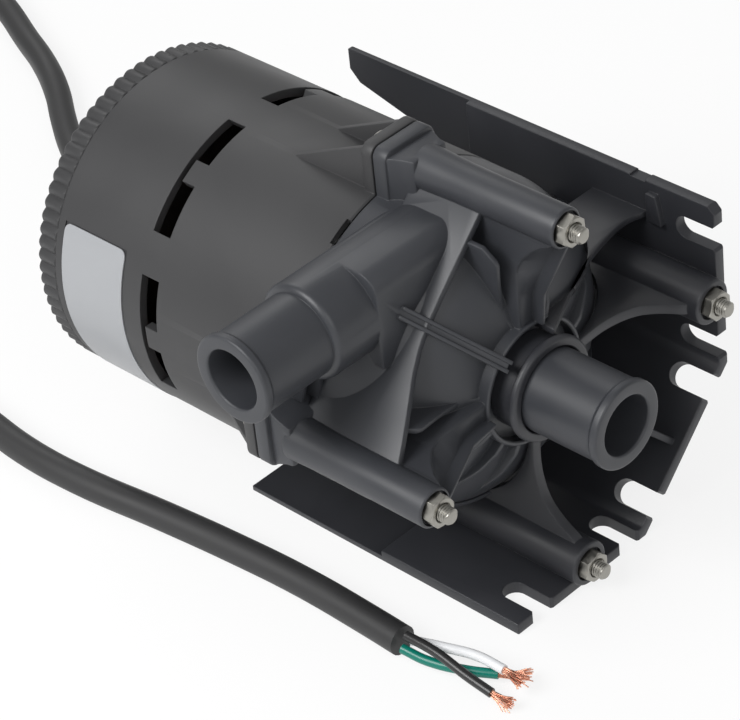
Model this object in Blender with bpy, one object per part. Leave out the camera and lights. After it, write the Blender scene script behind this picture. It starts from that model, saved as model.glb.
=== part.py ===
"""Circulator pump with a spherical rotor, its slotted mounting bracket and its cord.

World frame in metres: the bracket's lower plate stands on Z = 0 with its middle over the origin, the
pump axis runs along Y at the height AXIS_HEIGHT, the suction stub points to -Y and the discharge
stub to -X. Every piece of the pump is built about its axis, and the cord from the floor below it,
both with Y = 0 at the bolts' front ends, which lie ORIGIN_DEPTH in front of the world's origin.
"""
from math import atan2, cos, degrees, hypot, pi, radians, sin, sqrt, tan

import bmesh
import bpy
from mathutils import Matrix, Vector

# Driving dimensions in metres
ORIGIN_DEPTH = 0.0500
CLEARANCE = 0.0003
RUNNING_GAP = 0.0008
STUB_RADIUS = 0.0120
STUB_LIP_RADIUS = 0.0127
STUB_LIP_LENGTH = 0.0024
BORE_RADIUS = 0.0086
SUCTION_MOUTH_Y = -0.0172
DISCHARGE_LENGTH = 0.0303
DISCHARGE_Y = 0.0440
NECK_RADIUS = 0.0139
NECK_LENGTH = 0.0040
HOOD_INSET = 0.0090
HOOD_RIGHT_X = -0.0018
HOOD_FRONT_Y = 0.0312
HOOD_EDGE = 0.0036
BODY_RADIUS = 0.0480
BODY_WALL = 0.0030
DOME_CENTRE_RADIUS = 0.0100
DOME_BACK_Y = 0.0470
GROOVE_FLOOR_Y = 0.0185
RING_TOP_Y = 0.0112
RING_INNER_RADIUS = 0.0190
RING_WALL = 0.0020
SEAM_Y = 0.0580
RIB_WALL = 0.0016
RIB_PITCH_DEGREES = 22.5
LUG_MARGIN = 0.0065
LUG_HALF_WIDTH = 0.0095
LUG_LENGTH = 0.0120
LUG_CORNER = 0.0030
LUG_FLANGE_LENGTH = 0.0048
BOSS_RADIUS = 0.0057
SUPPORT_HALF_WIDTH = 0.0033
SUPPORT_WALL = 0.0015
SUPPORT_DEPTH = 0.0080
BOSS_FRONT_Y = -0.0005
CHORD_WALL = 0.0022
CHORD_START_Y = 0.0253
CHORD_END_Y = 0.0140
BEAM_DEGREES = 132.5
BEAM_WALL = 0.0036
BEAM_START_Y = 0.0104
BEAM_END_Y = 0.0292
BOLT_OFFSET = 0.0070
BOLT_RADIUS = 0.0024
BOLT_TIP_Y = -0.0065
BOLT_HEAD_RADIUS = 0.0045
BOLT_HEAD_HEIGHT = 0.0036
NUT_ACROSS_FLATS = 0.0080
NUT_HEIGHT = 0.0040
NUT_POCKET_DEPTH = 0.0015
EAR_LENGTH = 0.0037
MOTOR_STEP = 0.0001
MOTOR_WALL = 0.0026
MOTOR_REAR_Y = 0.1500
WINDOW_Y = 0.1090
WINDOW_WIDTH = 0.0066
WINDOW_SPAN_DEGREES = 45.0
WINDOW_FIRST_DEGREES = 121.0
WINDOW_COUNT = 6
SNAP_TAB_WIDTH = 0.0070
SNAP_TAB_LENGTH = 0.0048
GUSSET_WALL = 0.0020
GUSSET_INSET = 0.0007
GUSSET_TIP_Y = 0.0910
CAP_LENGTH = 0.0073
CAP_WALL = 0.0030
CAP_SPIGOT_LENGTH = 0.0040
SCALLOP_COUNT = 74
SCALLOP_DEPTH = 0.0009
SHELL_RIM_WALL = 0.0018
SHELL_WALL = 0.0008
SHELL_FLANGE_WALL = 0.0010
SPHERE_Y = 0.0420
SPHERE_INSET = 0.0125
ROTOR_WALL = 0.0080
ROTOR_HOLE_RADIUS = 0.0080
SHELL_GAP = 0.0015
BALL_RADIUS = 0.0050
POST_RADIUS = 0.0025
VANE_COUNT = 6
VANE_WALL = 0.0018
HUB_NOSE_Y = 0.0290
SEAL_RADIUS = 0.0012
SEAL_INSET = 0.0037
STATOR_FRONT_Y = 0.0690
STATOR_LENGTH = 0.0260
STATOR_WALL = 0.0152
WINDING_FRONT_LENGTH = 0.0056
WINDING_REAR_LENGTH = 0.0105
WINDING_GAP = 0.0015
BRACKET_SEAT = 0.0052
PLATE_WALL = 0.0036
PLATE_SKIN = 0.0018
BRACKET_FRONT_Y = 0.00235
PLATE_CORNER = 0.0022
FLOOR_PLATE_THICK_Y = 0.0530
SIDE_PLATE_THICK_Y = 0.0920
FLOOR_PLATE_REAR_Y = 0.1040
TONGUE_REAR_Y = 0.1400
TONGUE_ROOT_Z = 0.0045
TONGUE_TIP_Z = 0.0160
SLOT_WIDTH = 0.0070
SLOT_END_Y = 0.0159
MIDDLE_SLOT_OFFSET = 0.0179
OUTER_SLOT_OFFSET = 0.0164
INNER_SLOT_OFFSET = 0.0194
COLLAR_RADIUS = 0.0175
COLLAR_FRONT_Y = 0.0035
WEB_WALL = 0.0036
SIDE_WEB_WALL = 0.0026
BRACKET_BOSS_RADIUS = 0.0066
LABEL_START_DEGREES = 154.0
LABEL_END_DEGREES = 232.0
LABEL_FRONT_Y = 0.1230
LABEL_REAR_Y = 0.1472
LABEL_WALL = 0.0004
LABEL_RECESS = 0.0005
GLAND_X = 0.0150
GLAND_Z = -0.0250
GLAND_FLANGE_RADIUS = 0.0075
GLAND_NECK_RADIUS = 0.0060
GLAND_LENGTH = 0.0280
CORD_DIAMETER = 0.0088
COIL_X = -0.0050
COIL_Y = 0.3700
COIL_RADIUS = 0.0450
COIL_LAYERS = 2
COIL_ROWS = 2
WIRE_DIAMETER = 0.0028
COPPER_DIAMETER = 0.0018

# Segment counts of round shapes
BODY_STEPS = 44
INNER_STEPS = 24
STUB_STEPS = 24
BOSS_STEPS = 16
BOLT_STEPS = 14

# Values worked out from the driving dimensions
BOLT_CIRCLE_RADIUS = BODY_RADIUS + BOLT_OFFSET
LUG_REACH = BOLT_CIRCLE_RADIUS + LUG_MARGIN
BRACKET_REACH = BOLT_CIRCLE_RADIUS + BRACKET_SEAT + PLATE_WALL
AXIS_HEIGHT = BRACKET_REACH
MOTOR_RADIUS = BODY_RADIUS + MOTOR_STEP
MOTOR_INNER = MOTOR_RADIUS - MOTOR_WALL
SHELL_FLANGE_RADIUS = MOTOR_RADIUS - SHELL_RIM_WALL - CLEARANCE
SPHERE_RADIUS = MOTOR_INNER - SPHERE_INSET
SEAL_RING_RADIUS = BODY_RADIUS - SEAL_INSET
STATOR_BORE_RADIUS = MOTOR_INNER - CLEARANCE - STATOR_WALL
WINDING_RADIUS = MOTOR_INNER - WINDING_GAP
DISCHARGE_MOUTH_X = -(BODY_RADIUS + DISCHARGE_LENGTH)
NECK_START_X = -(BODY_RADIUS + NECK_LENGTH)
HOOD_LEFT_X = -(BODY_RADIUS - HOOD_INSET)
DISCHARGE_Z = BODY_RADIUS - NECK_RADIUS + CLEARANCE
ROOF_Z = DISCHARGE_Z + NECK_RADIUS
RING_MIDDLE = RING_INNER_RADIUS + RING_WALL / 2
CHAMBER_RADIUS = BODY_RADIUS - BODY_WALL
CHAMBER_FRONT_Y = GROOVE_FLOOR_Y + BODY_WALL
HOUSING_FRONT_Y = SEAM_Y + CLEARANCE
LUG_FRONT_Y = SEAM_Y - LUG_LENGTH
BRACKET_INNER = BRACKET_REACH - PLATE_WALL
BRACKET_LUG_REACH = BRACKET_INNER - CLEARANCE
HALF_FACET = BRACKET_REACH * tan(radians(22.5))
SHELL_RADIUS = SPHERE_RADIUS + SHELL_GAP
SHELL_FLANGE_Y = HOUSING_FRONT_Y + CLEARANCE
NUT_FACE_Y = BOSS_FRONT_Y + NUT_POCKET_DEPTH
EAR_REAR_Y = HOUSING_FRONT_Y + EAR_LENGTH
CAP_REAR_Y = MOTOR_REAR_Y + CLEARANCE + CAP_LENGTH
GLAND_END_Y = CAP_REAR_Y + CLEARANCE + GLAND_LENGTH
CORD_RADIUS = CORD_DIAMETER / 2
COIL_OUTER = COIL_RADIUS + COIL_ROWS * CORD_RADIUS + CLEARANCE
COIL_INNER = COIL_RADIUS - COIL_ROWS * CORD_RADIUS - CLEARANCE
COIL_FIRST_TURN = COIL_OUTER - CLEARANCE - CORD_RADIUS
COIL_LAST_TURN = COIL_INNER + CLEARANCE + CORD_RADIUS
BOLT_STATIONS = {"right": 0.0, "top": 90.0, "left": 180.0, "bottom": 270.0}
FREE_STATIONS = ("top", "left")
BRACKET_STATIONS = ("right", "bottom")

# Turns of a flat outline: facing along the pump's radius, and seen from the side as (y, z)
UPRIGHT = Matrix(((0, 0, 1, 0), (0, 1, 0, 0), (1, 0, 0, 0), (0, 0, 0, 1)))
FROM_SIDE = Matrix(((0, 0, 1, 0), (1, 0, 0, 0), (0, 1, 0, 0), (0, 0, 0, 1)))

# Colours and finishes read from the photograph
FINISHES = {
    "black_plastic": ((0.035, 0.036, 0.038, 1.0), 0.45, 0.0),
    "black_bracket": ((0.022, 0.023, 0.026, 1.0), 0.42, 0.0),
    "zinc_steel": ((0.62, 0.60, 0.55, 1.0), 0.32, 1.0),
    "stainless": ((0.58, 0.58, 0.57, 1.0), 0.28, 1.0),
    "rubber": ((0.02, 0.02, 0.02, 1.0), 0.75, 0.0),
    "magnet": ((0.09, 0.09, 0.10, 1.0), 0.55, 0.3),
    "lamination": ((0.30, 0.30, 0.32, 1.0), 0.45, 1.0),
    "copper": ((0.75, 0.36, 0.22, 1.0), 0.35, 1.0),
    "ceramic": ((0.85, 0.84, 0.80, 1.0), 0.2, 0.0),
    "impeller_plastic": ((0.20, 0.21, 0.23, 1.0), 0.45, 0.0),
    "label_film": ((0.70, 0.72, 0.75, 1.0), 0.4, 0.0),
    "cord_jacket": ((0.04, 0.04, 0.042, 1.0), 0.6, 0.0),
    "green_wire": ((0.0, 0.22, 0.17, 1.0), 0.45, 0.0),
    "white_wire": ((0.75, 0.76, 0.78, 1.0), 0.45, 0.0),
    "black_wire": ((0.03, 0.03, 0.03, 1.0), 0.45, 0.0),
}


def clear_scene():
    for old in list(bpy.data.objects):
        bpy.data.objects.remove(old, do_unlink=True)


def finish(name):
    if name in bpy.data.materials:
        return bpy.data.materials[name]
    colour, roughness, metallic = FINISHES[name]
    material = bpy.data.materials.new(name)
    material.use_nodes = True
    material.diffuse_color = colour
    shader = material.node_tree.nodes["Principled BSDF"]
    shader.inputs["Base Color"].default_value = colour
    shader.inputs["Roughness"].default_value = roughness
    shader.inputs["Metallic"].default_value = metallic
    return material


def add_object(name, data, finish_name, parent):
    thing = bpy.data.objects.new(name, data)
    bpy.context.scene.collection.objects.link(thing)
    thing.parent = parent
    if finish_name:
        data.materials.append(finish(finish_name))
    return thing


def to_mesh(name, bm):
    bmesh.ops.remove_doubles(bm, verts=bm.verts, dist=1e-7)
    bmesh.ops.recalc_face_normals(bm, faces=bm.faces)
    mesh = bpy.data.meshes.new(name)
    bm.to_mesh(mesh)
    bm.free()
    return mesh


def shade(thing, sharp_degrees=32.0):
    thing.data.shade_smooth()
    thing.data.set_sharp_from_angle(angle=radians(sharp_degrees))


def about_axis(station_degrees):
    """Turn about the pump axis that takes +X to the station's own direction."""
    return Matrix.Rotation(-radians(station_degrees), 4, "Y")


def turned(profile, steps=BODY_STEPS, closed=True):
    """Spin a profile of (radius, y) points about the pump axis."""
    bm = bmesh.new()
    verts = [bm.verts.new((radius, y, 0.0)) for radius, y in profile]
    edges = [bm.edges.new(pair) for pair in zip(verts, verts[1:])]
    if closed:
        edges.append(bm.edges.new((verts[-1], verts[0])))
    bmesh.ops.spin(bm, geom=verts + edges, cent=(0, 0, 0), axis=(0, 1, 0), angle=2 * pi, steps=steps)
    bmesh.ops.remove_doubles(bm, verts=bm.verts, dist=1e-7)
    bmesh.ops.recalc_face_normals(bm, faces=bm.faces)
    return bm


def prism(outline, start, end, place=None):
    """Extrude an outline of (x, y) points along Z from start to end, then place it."""
    bm = bmesh.new()
    face = bm.faces.new([bm.verts.new((x, y, start)) for x, y in outline])
    grown = bmesh.ops.extrude_face_region(bm, geom=[face])
    moved = [item for item in grown["geom"] if isinstance(item, bmesh.types.BMVert)]
    bmesh.ops.translate(bm, verts=moved, vec=(0, 0, end - start))
    if place:
        bmesh.ops.transform(bm, matrix=place, verts=bm.verts)
    bmesh.ops.recalc_face_normals(bm, faces=bm.faces)
    return bm


def gather(pieces):
    """Put several separate closed pieces in one bmesh."""
    whole = bmesh.new()
    for piece in pieces:
        mesh = bpy.data.meshes.new("piece")
        piece.to_mesh(mesh)
        piece.free()
        whole.from_mesh(mesh)
        bpy.data.meshes.remove(mesh)
    return whole


def combine(thing, name, bm, operation, solver="EXACT"):
    """Join the bmesh to the object, or cut it out; EXACT leaves open edges in the volute's many cuts."""
    tool = add_object(name, to_mesh(name, bm), None, thing.parent)
    tool.hide_render = True
    tool.display_type = "WIRE"
    boolean = thing.modifiers.new(name, "BOOLEAN")
    boolean.operation = operation
    boolean.solver = solver
    boolean.object = tool


def cylinder(radius, start_y, end_y, x, z, steps=BOSS_STEPS):
    """Closed cylinder along Y at the given place."""
    bm = turned([(0.0, start_y), (radius, start_y), (radius, end_y), (0.0, end_y)], steps, closed=False)
    bmesh.ops.translate(bm, verts=bm.verts, vec=(x, 0, z))
    return bm


def arc(centre_x, centre_y, radius_x, radius_y, start_degrees, end_degrees, count):
    """Points of an elliptical arc with both its ends."""
    span = end_degrees - start_degrees
    turns = [radians(start_degrees + span * step / count) for step in range(count + 1)]
    return [(centre_x + radius_x * cos(turn), centre_y + radius_y * sin(turn)) for turn in turns]


def dome_depth(inset=0.0):
    """Depth of the dome's ellipse, which meets the groove's floor beside the ring."""
    reach = (RING_INNER_RADIUS + RING_WALL - DOME_CENTRE_RADIUS) / (BODY_RADIUS - DOME_CENTRE_RADIUS)
    return (DOME_BACK_Y - GROOVE_FLOOR_Y) / sqrt(1 - reach * reach) - inset


def dome_y(radius, inset=0.0):
    """Y of the dome's front surface at a radius, or of the surface that far inside it."""
    reach = (radius - DOME_CENTRE_RADIUS) / (BODY_RADIUS - inset - DOME_CENTRE_RADIUS)
    reach = min(max(reach, 0.0), 1.0)
    return max(DOME_BACK_Y - dome_depth(inset) * sqrt(1 - reach * reach), GROOVE_FLOOR_Y + inset)


def station_place(name):
    turn = radians(BOLT_STATIONS[name])
    return BOLT_CIRCLE_RADIUS * cos(turn), BOLT_CIRCLE_RADIUS * sin(turn)


def radial_plate(outline, wall, station_degrees, middle=0.0):
    """Plate of (radius, y) outline and given wall that stands along a radius, or beside it."""
    return prism(outline, middle - wall / 2, middle + wall / 2, about_axis(station_degrees))


# Volute housing

def volute_body():
    """Outer shape of the housing: stub, groove, ring and dome, solid inside."""
    ring_outer = RING_INNER_RADIUS + RING_WALL
    reach = (ring_outer - DOME_CENTRE_RADIUS) / (BODY_RADIUS - DOME_CENTRE_RADIUS)
    start = degrees(atan2(-sqrt(1 - reach * reach), reach))
    dome = arc(DOME_CENTRE_RADIUS, DOME_BACK_Y, BODY_RADIUS - DOME_CENTRE_RADIUS, dome_depth(), start, 0, 8)
    stub_end = SUCTION_MOUTH_Y + STUB_LIP_LENGTH
    profile = [
        (0.0, SUCTION_MOUTH_Y),
        (STUB_LIP_RADIUS, SUCTION_MOUTH_Y),
        (STUB_LIP_RADIUS, stub_end),
        (STUB_RADIUS, stub_end + STUB_LIP_RADIUS - STUB_RADIUS),
        (STUB_RADIUS, GROOVE_FLOOR_Y),
        (RING_INNER_RADIUS, GROOVE_FLOOR_Y),
        (RING_INNER_RADIUS, RING_TOP_Y),
        (ring_outer, RING_TOP_Y),
    ]
    profile += dome + [(BODY_RADIUS, SEAM_Y), (0.0, SEAM_Y)]
    return turned(profile, closed=False)


def volute_chamber():
    """Room for the impeller and the water, open to the suction stub and to the seam."""
    inner_rim = SEAL_RING_RADIUS - SEAL_RADIUS - BODY_WALL
    land_y = SEAM_Y - 2 * BODY_WALL
    front_reach = (DOME_BACK_Y - CHAMBER_FRONT_Y) / dome_depth(BODY_WALL)
    start = -degrees(atan2(front_reach, sqrt(1 - front_reach * front_reach)))
    radius_x = CHAMBER_RADIUS - DOME_CENTRE_RADIUS
    wall = arc(DOME_CENTRE_RADIUS, DOME_BACK_Y, radius_x, dome_depth(BODY_WALL), start, 0, 6)
    profile = [(0.0, CHAMBER_FRONT_Y)] + wall
    profile += [(CHAMBER_RADIUS, land_y), (inner_rim, land_y), (inner_rim, SEAM_Y + BODY_WALL)]
    profile += [(0.0, SEAM_Y + BODY_WALL)]
    return turned(profile, INNER_STEPS, closed=False)


def along_x(profile, steps=STUB_STEPS):
    """Turned shape about the discharge stub's axis, from a profile of (radius, x) points."""
    bm = turned(profile, steps, closed=False)
    place = Matrix.Translation((0, DISCHARGE_Y, DISCHARGE_Z)) @ Matrix.Rotation(-pi / 2, 4, "Z")
    bmesh.ops.transform(bm, matrix=place, verts=bm.verts)
    return bm


def discharge_stub():
    lip_end = DISCHARGE_MOUTH_X + STUB_LIP_LENGTH
    return along_x([
        (0.0, DISCHARGE_MOUTH_X),
        (STUB_LIP_RADIUS, DISCHARGE_MOUTH_X),
        (STUB_LIP_RADIUS, lip_end),
        (STUB_RADIUS, lip_end + STUB_LIP_RADIUS - STUB_RADIUS),
        (STUB_RADIUS, NECK_START_X),
        (NECK_RADIUS, NECK_START_X),
        (NECK_RADIUS, HOOD_RIGHT_X + BODY_WALL / 3),
        (0.0, HOOD_RIGHT_X + BODY_WALL / 3),
    ])


def hood():
    """Square shoulder in front of the discharge neck, with a well rounded front edge."""
    low = DISCHARGE_Z - NECK_RADIUS
    rear = DISCHARGE_Y - CLEARANCE
    outline = [(rear, low), (HOOD_FRONT_Y, low)]
    outline += arc(HOOD_FRONT_Y + HOOD_EDGE, ROOF_Z - HOOD_EDGE, HOOD_EDGE, HOOD_EDGE, 180, 90, 4)
    return prism(outline + [(rear, ROOF_Z)], HOOD_LEFT_X, HOOD_RIGHT_X, FROM_SIDE)


def lug_block(reach, front_y, rear_y, station_degrees):
    """Block with rounded outer corners that carries a bolt."""
    inner = sqrt(BODY_RADIUS ** 2 - LUG_HALF_WIDTH ** 2) - BODY_WALL
    side = LUG_HALF_WIDTH - LUG_CORNER
    outline = [(inner, -LUG_HALF_WIDTH)]
    outline += arc(reach - LUG_CORNER, -side, LUG_CORNER, LUG_CORNER, -90, 0, 4)
    outline += arc(reach - LUG_CORNER, side, LUG_CORNER, LUG_CORNER, 0, 90, 4)
    outline += [(inner, LUG_HALF_WIDTH)]
    lay_flat = Matrix.Rotation(pi / 2, 4, "X")
    return prism(outline, -rear_y, -front_y, about_axis(station_degrees) @ lay_flat)


def boss_supports(station_degrees):
    """Two walls and a floor that carry a long boss, with a knee halfway along their front."""
    span = BOLT_CIRCLE_RADIUS - RING_MIDDLE
    knee = [(0.0, 0.0), (0.27, 0.0014), (0.46, 0.0046), (0.68, 0.0080), (0.87, 0.0094)]
    wall = SUPPORT_WALL
    pieces = []
    for middle, depth in ((wall / 2 - SUPPORT_HALF_WIDTH, 0.0), (SUPPORT_HALF_WIDTH - wall / 2, 0.0),
                          (0.0, SUPPORT_DEPTH)):
        outline = [(RING_MIDDLE + share * span, RING_TOP_Y - rise + depth) for share, rise in knee]
        outline += [
            (outline[-1][0], LUG_FRONT_Y + BODY_WALL),
            (CHAMBER_RADIUS + BODY_WALL / 2, DOME_BACK_Y),
            (RING_MIDDLE, CHAMBER_FRONT_Y - BODY_WALL / 2),
        ]
        width = 2 * SUPPORT_HALF_WIDTH - wall if depth else wall
        pieces.append(radial_plate(outline, width, station_degrees, middle))
    return pieces


def tapered_lug(station_degrees):
    """Flange that carries a long boss, and narrows to its width in front."""
    flange_y = SEAM_Y - LUG_FLANGE_LENGTH
    flange = lug_block(LUG_REACH, flange_y, SEAM_Y, station_degrees)
    outline = [(LUG_HALF_WIDTH - CLEARANCE, flange_y + CLEARANCE), (BOSS_RADIUS, LUG_FRONT_Y)]
    outline += [(-across, y) for across, y in outline[::-1]]
    top = BOLT_CIRCLE_RADIUS + BOSS_RADIUS - LUG_CORNER / 4
    taper = prism(outline, CHAMBER_RADIUS + BODY_WALL / 2, top, about_axis(station_degrees) @ UPRIGHT)
    return [flange, taper]


def dome_rib(station_degrees):
    """Low radial rib that fades into the dome."""
    fade = 0.84 * BODY_RADIUS
    outline = [(RING_MIDDLE, RING_TOP_Y), (0.6 * fade, dome_y(0.6 * fade) - RIB_WALL), (fade, dome_y(fade))]
    return radial_plate(outline + [(RING_MIDDLE, CHAMBER_FRONT_Y - BODY_WALL / 2)], RIB_WALL, station_degrees)


def chord_rib():
    """Rib between the two long bosses, whose front edge rises towards the left one."""
    half = BOLT_CIRCLE_RADIUS * sin(pi / 4) - BOSS_RADIUS / 2
    offset = BOLT_CIRCLE_RADIUS * cos(pi / 4)
    rise = CHORD_START_Y - CHORD_END_Y
    outline = [(-half, CHORD_START_Y)]
    for share in (0.0, 0.25, 0.5, 0.75, 1.0):
        outline.append((share * half, CHORD_START_Y - rise * share ** 1.2))
    outline += [(half, LUG_FRONT_Y + BODY_WALL), (-half, LUG_FRONT_Y + BODY_WALL)]
    place = about_axis(135.0) @ Matrix.Translation((offset, 0, 0)) @ UPRIGHT
    return prism(outline, -CHORD_WALL / 2, CHORD_WALL / 2, place)


def radial_beam():
    """Beam from the ring to the hood's front."""
    outline = [
        (RING_MIDDLE, BEAM_START_Y),
        (0.8 * BODY_RADIUS, BEAM_END_Y - 0.26 * (BEAM_END_Y - BEAM_START_Y)),
        (BODY_RADIUS - SUPPORT_WALL, BEAM_END_Y),
        (BODY_RADIUS - SUPPORT_WALL, DOME_BACK_Y - BODY_WALL),
        (RING_MIDDLE, CHAMBER_FRONT_Y - BODY_WALL / 2),
    ]
    return radial_plate(outline, BEAM_WALL, BEAM_DEGREES)


def stub_shelf():
    """Flange wall below the discharge neck, down to the left lug."""
    outline = [
        (-BOLT_CIRCLE_RADIUS, 0.0),
        (-CHAMBER_RADIUS, 0.0),
        (-0.6 * BODY_RADIUS, DISCHARGE_Z),
        (NECK_START_X + 2 * BODY_WALL, DISCHARGE_Z),
    ]
    lay_flat = Matrix.Rotation(pi / 2, 4, "X")
    return prism(outline, -(SEAM_Y - BODY_WALL / 4), -(SEAM_Y - 1.5 * BODY_WALL), lay_flat)


def bolt_holes(front_y, rear_y, names):
    radius = BOLT_RADIUS + CLEARANCE
    return gather([cylinder(radius, front_y, rear_y, *station_place(name)) for name in names])


def pocketed_holes(rear_y, names):
    """Bolt holes that widen to a round nut pocket at the front."""
    hole = BOLT_RADIUS + CLEARANCE
    pocket = NUT_ACROSS_FLATS / 2 / cos(pi / 6) + CLEARANCE
    front = BOSS_FRONT_Y - NUT_HEIGHT
    profile = [(0.0, front), (pocket, front), (pocket, NUT_FACE_Y), (hole, NUT_FACE_Y), (hole, rear_y)]
    pieces = []
    for name in names:
        x, z = station_place(name)
        bm = turned(profile + [(0.0, rear_y)], BOSS_STEPS, closed=False)
        bmesh.ops.translate(bm, verts=bm.verts, vec=(x, 0, z))
        pieces.append(bm)
    return gather(pieces)


def web_notches():
    """Gaps in the ring where the bracket's webs pass."""
    depth = GROOVE_FLOOR_Y - CLEARANCE / 3
    gap = WEB_WALL / 2 + 2 * CLEARANCE
    inner = COLLAR_RADIUS
    outer = RING_INNER_RADIUS + 2 * RING_WALL
    pieces = []
    for station in (0.0, 270.0, 315.0):
        outline = [(inner, 0.0), (outer, 0.0), (outer, depth), (inner, depth)]
        pieces.append(radial_plate(outline, 2 * gap, station))
    low, high = side_web_heights()
    near = SUPPORT_HALF_WIDTH
    outline = [(near, 0.0), (outer, 0.0), (outer, depth), (near, depth)]
    pieces.append(prism(outline, low - 2 * CLEARANCE, high + 2 * CLEARANCE))
    return gather(pieces)


def volute_housing(parent):
    housing = add_object("volute_housing", to_mesh("volute_housing", volute_body()), "black_plastic", parent)
    combine(housing, "add_discharge", discharge_stub(), "UNION")
    combine(housing, "add_hood", hood(), "UNION")
    angles = [BOLT_STATIONS[name] for name in BRACKET_STATIONS]
    lugs = [lug_block(BRACKET_LUG_REACH, LUG_FRONT_Y, SEAM_Y, angle) for angle in angles]
    combine(housing, "add_lugs", gather(lugs), "UNION")
    for name in FREE_STATIONS:
        for number, piece in enumerate(tapered_lug(BOLT_STATIONS[name])):
            combine(housing, f"add_lug_{name}_{number}", piece, "UNION")
    bosses = []
    for name in FREE_STATIONS:
        bosses.append(cylinder(BOSS_RADIUS, BOSS_FRONT_Y, LUG_FRONT_Y + BODY_WALL, *station_place(name)))
    combine(housing, "add_bosses", gather(bosses), "UNION")
    for name in FREE_STATIONS:
        for number, piece in enumerate(boss_supports(BOLT_STATIONS[name])):
            combine(housing, f"add_support_{name}_{number}", piece, "UNION")
    combine(housing, "add_chord_rib", chord_rib(), "UNION")
    combine(housing, "add_beam", radial_beam(), "UNION")
    combine(housing, "add_shelf", stub_shelf(), "UNION")
    left_out = (0.0, 45.0, 67.5, 90.0, 135.0, 180.0, 270.0, 315.0)
    angles = [RIB_PITCH_DEGREES * step for step in range(int(360 / RIB_PITCH_DEGREES))]
    ribs = [dome_rib(angle) for angle in angles if angle not in left_out]
    combine(housing, "add_dome_ribs", gather(ribs), "UNION")
    cuts = {"chamber": volute_chamber()}
    bore_front, bore_rear = SUCTION_MOUTH_Y - BODY_WALL, CHAMBER_FRONT_Y + BODY_WALL
    cuts["suction_bore"] = cylinder(BORE_RADIUS, bore_front, bore_rear, 0, 0, STUB_STEPS)
    cuts["discharge_bore"] = along_x([
        (0.0, DISCHARGE_MOUTH_X - BODY_WALL),
        (BORE_RADIUS, DISCHARGE_MOUTH_X - BODY_WALL),
        (BORE_RADIUS, -BODY_WALL),
        (0.0, -BODY_WALL),
    ])
    cuts["web_notches"] = web_notches()
    cuts["free_bolt_holes"] = pocketed_holes(SEAM_Y + BODY_WALL, FREE_STATIONS)
    cuts["lug_bolt_holes"] = bolt_holes(LUG_FRONT_Y - BODY_WALL, SEAM_Y + BODY_WALL, BRACKET_STATIONS)
    cuts["seal_groove"] = seal_groove()
    for name, cutter in cuts.items():
        combine(housing, f"cut_{name}", cutter, "DIFFERENCE", "MANIFOLD")
    return housing


def seal_groove():
    wide = SEAL_RADIUS + CLEARANCE
    floor = SEAM_Y - 2 * SEAL_RADIUS + CLEARANCE
    inner, outer = SEAL_RING_RADIUS - wide, SEAL_RING_RADIUS + wide
    rear = SEAM_Y + BODY_WALL
    return turned([(inner, floor), (outer, floor), (outer, rear), (inner, rear)], INNER_STEPS)


def volute_seal(parent):
    centre_y = SEAM_Y + CLEARANCE - SEAL_RADIUS + CLEARANCE
    circle = arc(SEAL_RING_RADIUS, centre_y, SEAL_RADIUS, SEAL_RADIUS, 30, 330, 5)
    bm = turned(circle, INNER_STEPS)
    return add_object("volute_seal", to_mesh("volute_seal", bm), "rubber", parent)


# Mounting bracket

def facet_strip(outer, inner, end=HALF_FACET):
    """Outline of three sides of an octagon between two reaches, as (x, z) points."""
    outer_half = outer * tan(radians(22.5))
    inner_half = inner * tan(radians(22.5))
    outline = [(outer, end), (outer, -outer_half), (outer_half, -outer), (-end, -outer)]
    outline += [(-end, -inner), (inner_half, -inner), (inner, -inner_half), (inner, end)]
    return outline


def lengthwise(outline, start_y, end_y):
    """Extrude an (x, z) outline along Y."""
    return prism(outline, -end_y, -start_y, Matrix.Rotation(pi / 2, 4, "X"))


def rear_cutter():
    """Everything behind the plates and below the side plate's tongue."""
    beyond = TONGUE_REAR_Y + PLATE_WALL
    below = -BRACKET_REACH - PLATE_WALL
    tip = TONGUE_REAR_Y - PLATE_WALL
    outline = [(FLOOR_PLATE_REAR_Y, below), (beyond, below), (beyond, TONGUE_TIP_Z + PLATE_WALL)]
    outline += [(TONGUE_REAR_Y, TONGUE_TIP_Z + PLATE_WALL), (tip, TONGUE_TIP_Z)]
    outline += [(SIDE_PLATE_THICK_Y, TONGUE_ROOT_Z), (SIDE_PLATE_THICK_Y, -HALF_FACET)]
    outline += [(FLOOR_PLATE_REAR_Y, -BRACKET_INNER)]
    return prism(outline, -BRACKET_REACH, BRACKET_REACH + PLATE_WALL, FROM_SIDE)


def corner_cutter():
    """Slanting cut at the side plate's free front corner."""
    front, top, wide = BRACKET_FRONT_Y, HALF_FACET, PLATE_CORNER
    outline = [(front - wide, top - 2 * wide), (front + 2 * wide, top + wide), (front - wide, top + wide)]
    return prism(outline, BRACKET_INNER - wide, BRACKET_REACH + wide, FROM_SIDE)


def floor_thinning():
    """Room above the thin rear stretch of the lower and the slanting plate."""
    skin = BRACKET_REACH - PLATE_SKIN
    side = BRACKET_INNER - PLATE_SKIN
    outline = [(side, -HALF_FACET / 2), (side, side - sqrt(2) * skin), (skin * tan(radians(22.5)), -skin)]
    outline += [(-BRACKET_REACH, -skin), (-BRACKET_REACH, -HALF_FACET / 2)]
    return lengthwise(outline, FLOOR_PLATE_THICK_Y, TONGUE_REAR_Y)


def tongue_thinning():
    """Room beside the thin tongue of the side plate."""
    skin = BRACKET_REACH - PLATE_SKIN
    outline = [(HALF_FACET, HALF_FACET + PLATE_WALL), (skin, HALF_FACET + PLATE_WALL)]
    outline += [(skin, -HALF_FACET / 2), (HALF_FACET, -HALF_FACET / 2)]
    return lengthwise(outline, SIDE_PLATE_THICK_Y, TONGUE_REAR_Y + PLATE_WALL)


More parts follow.
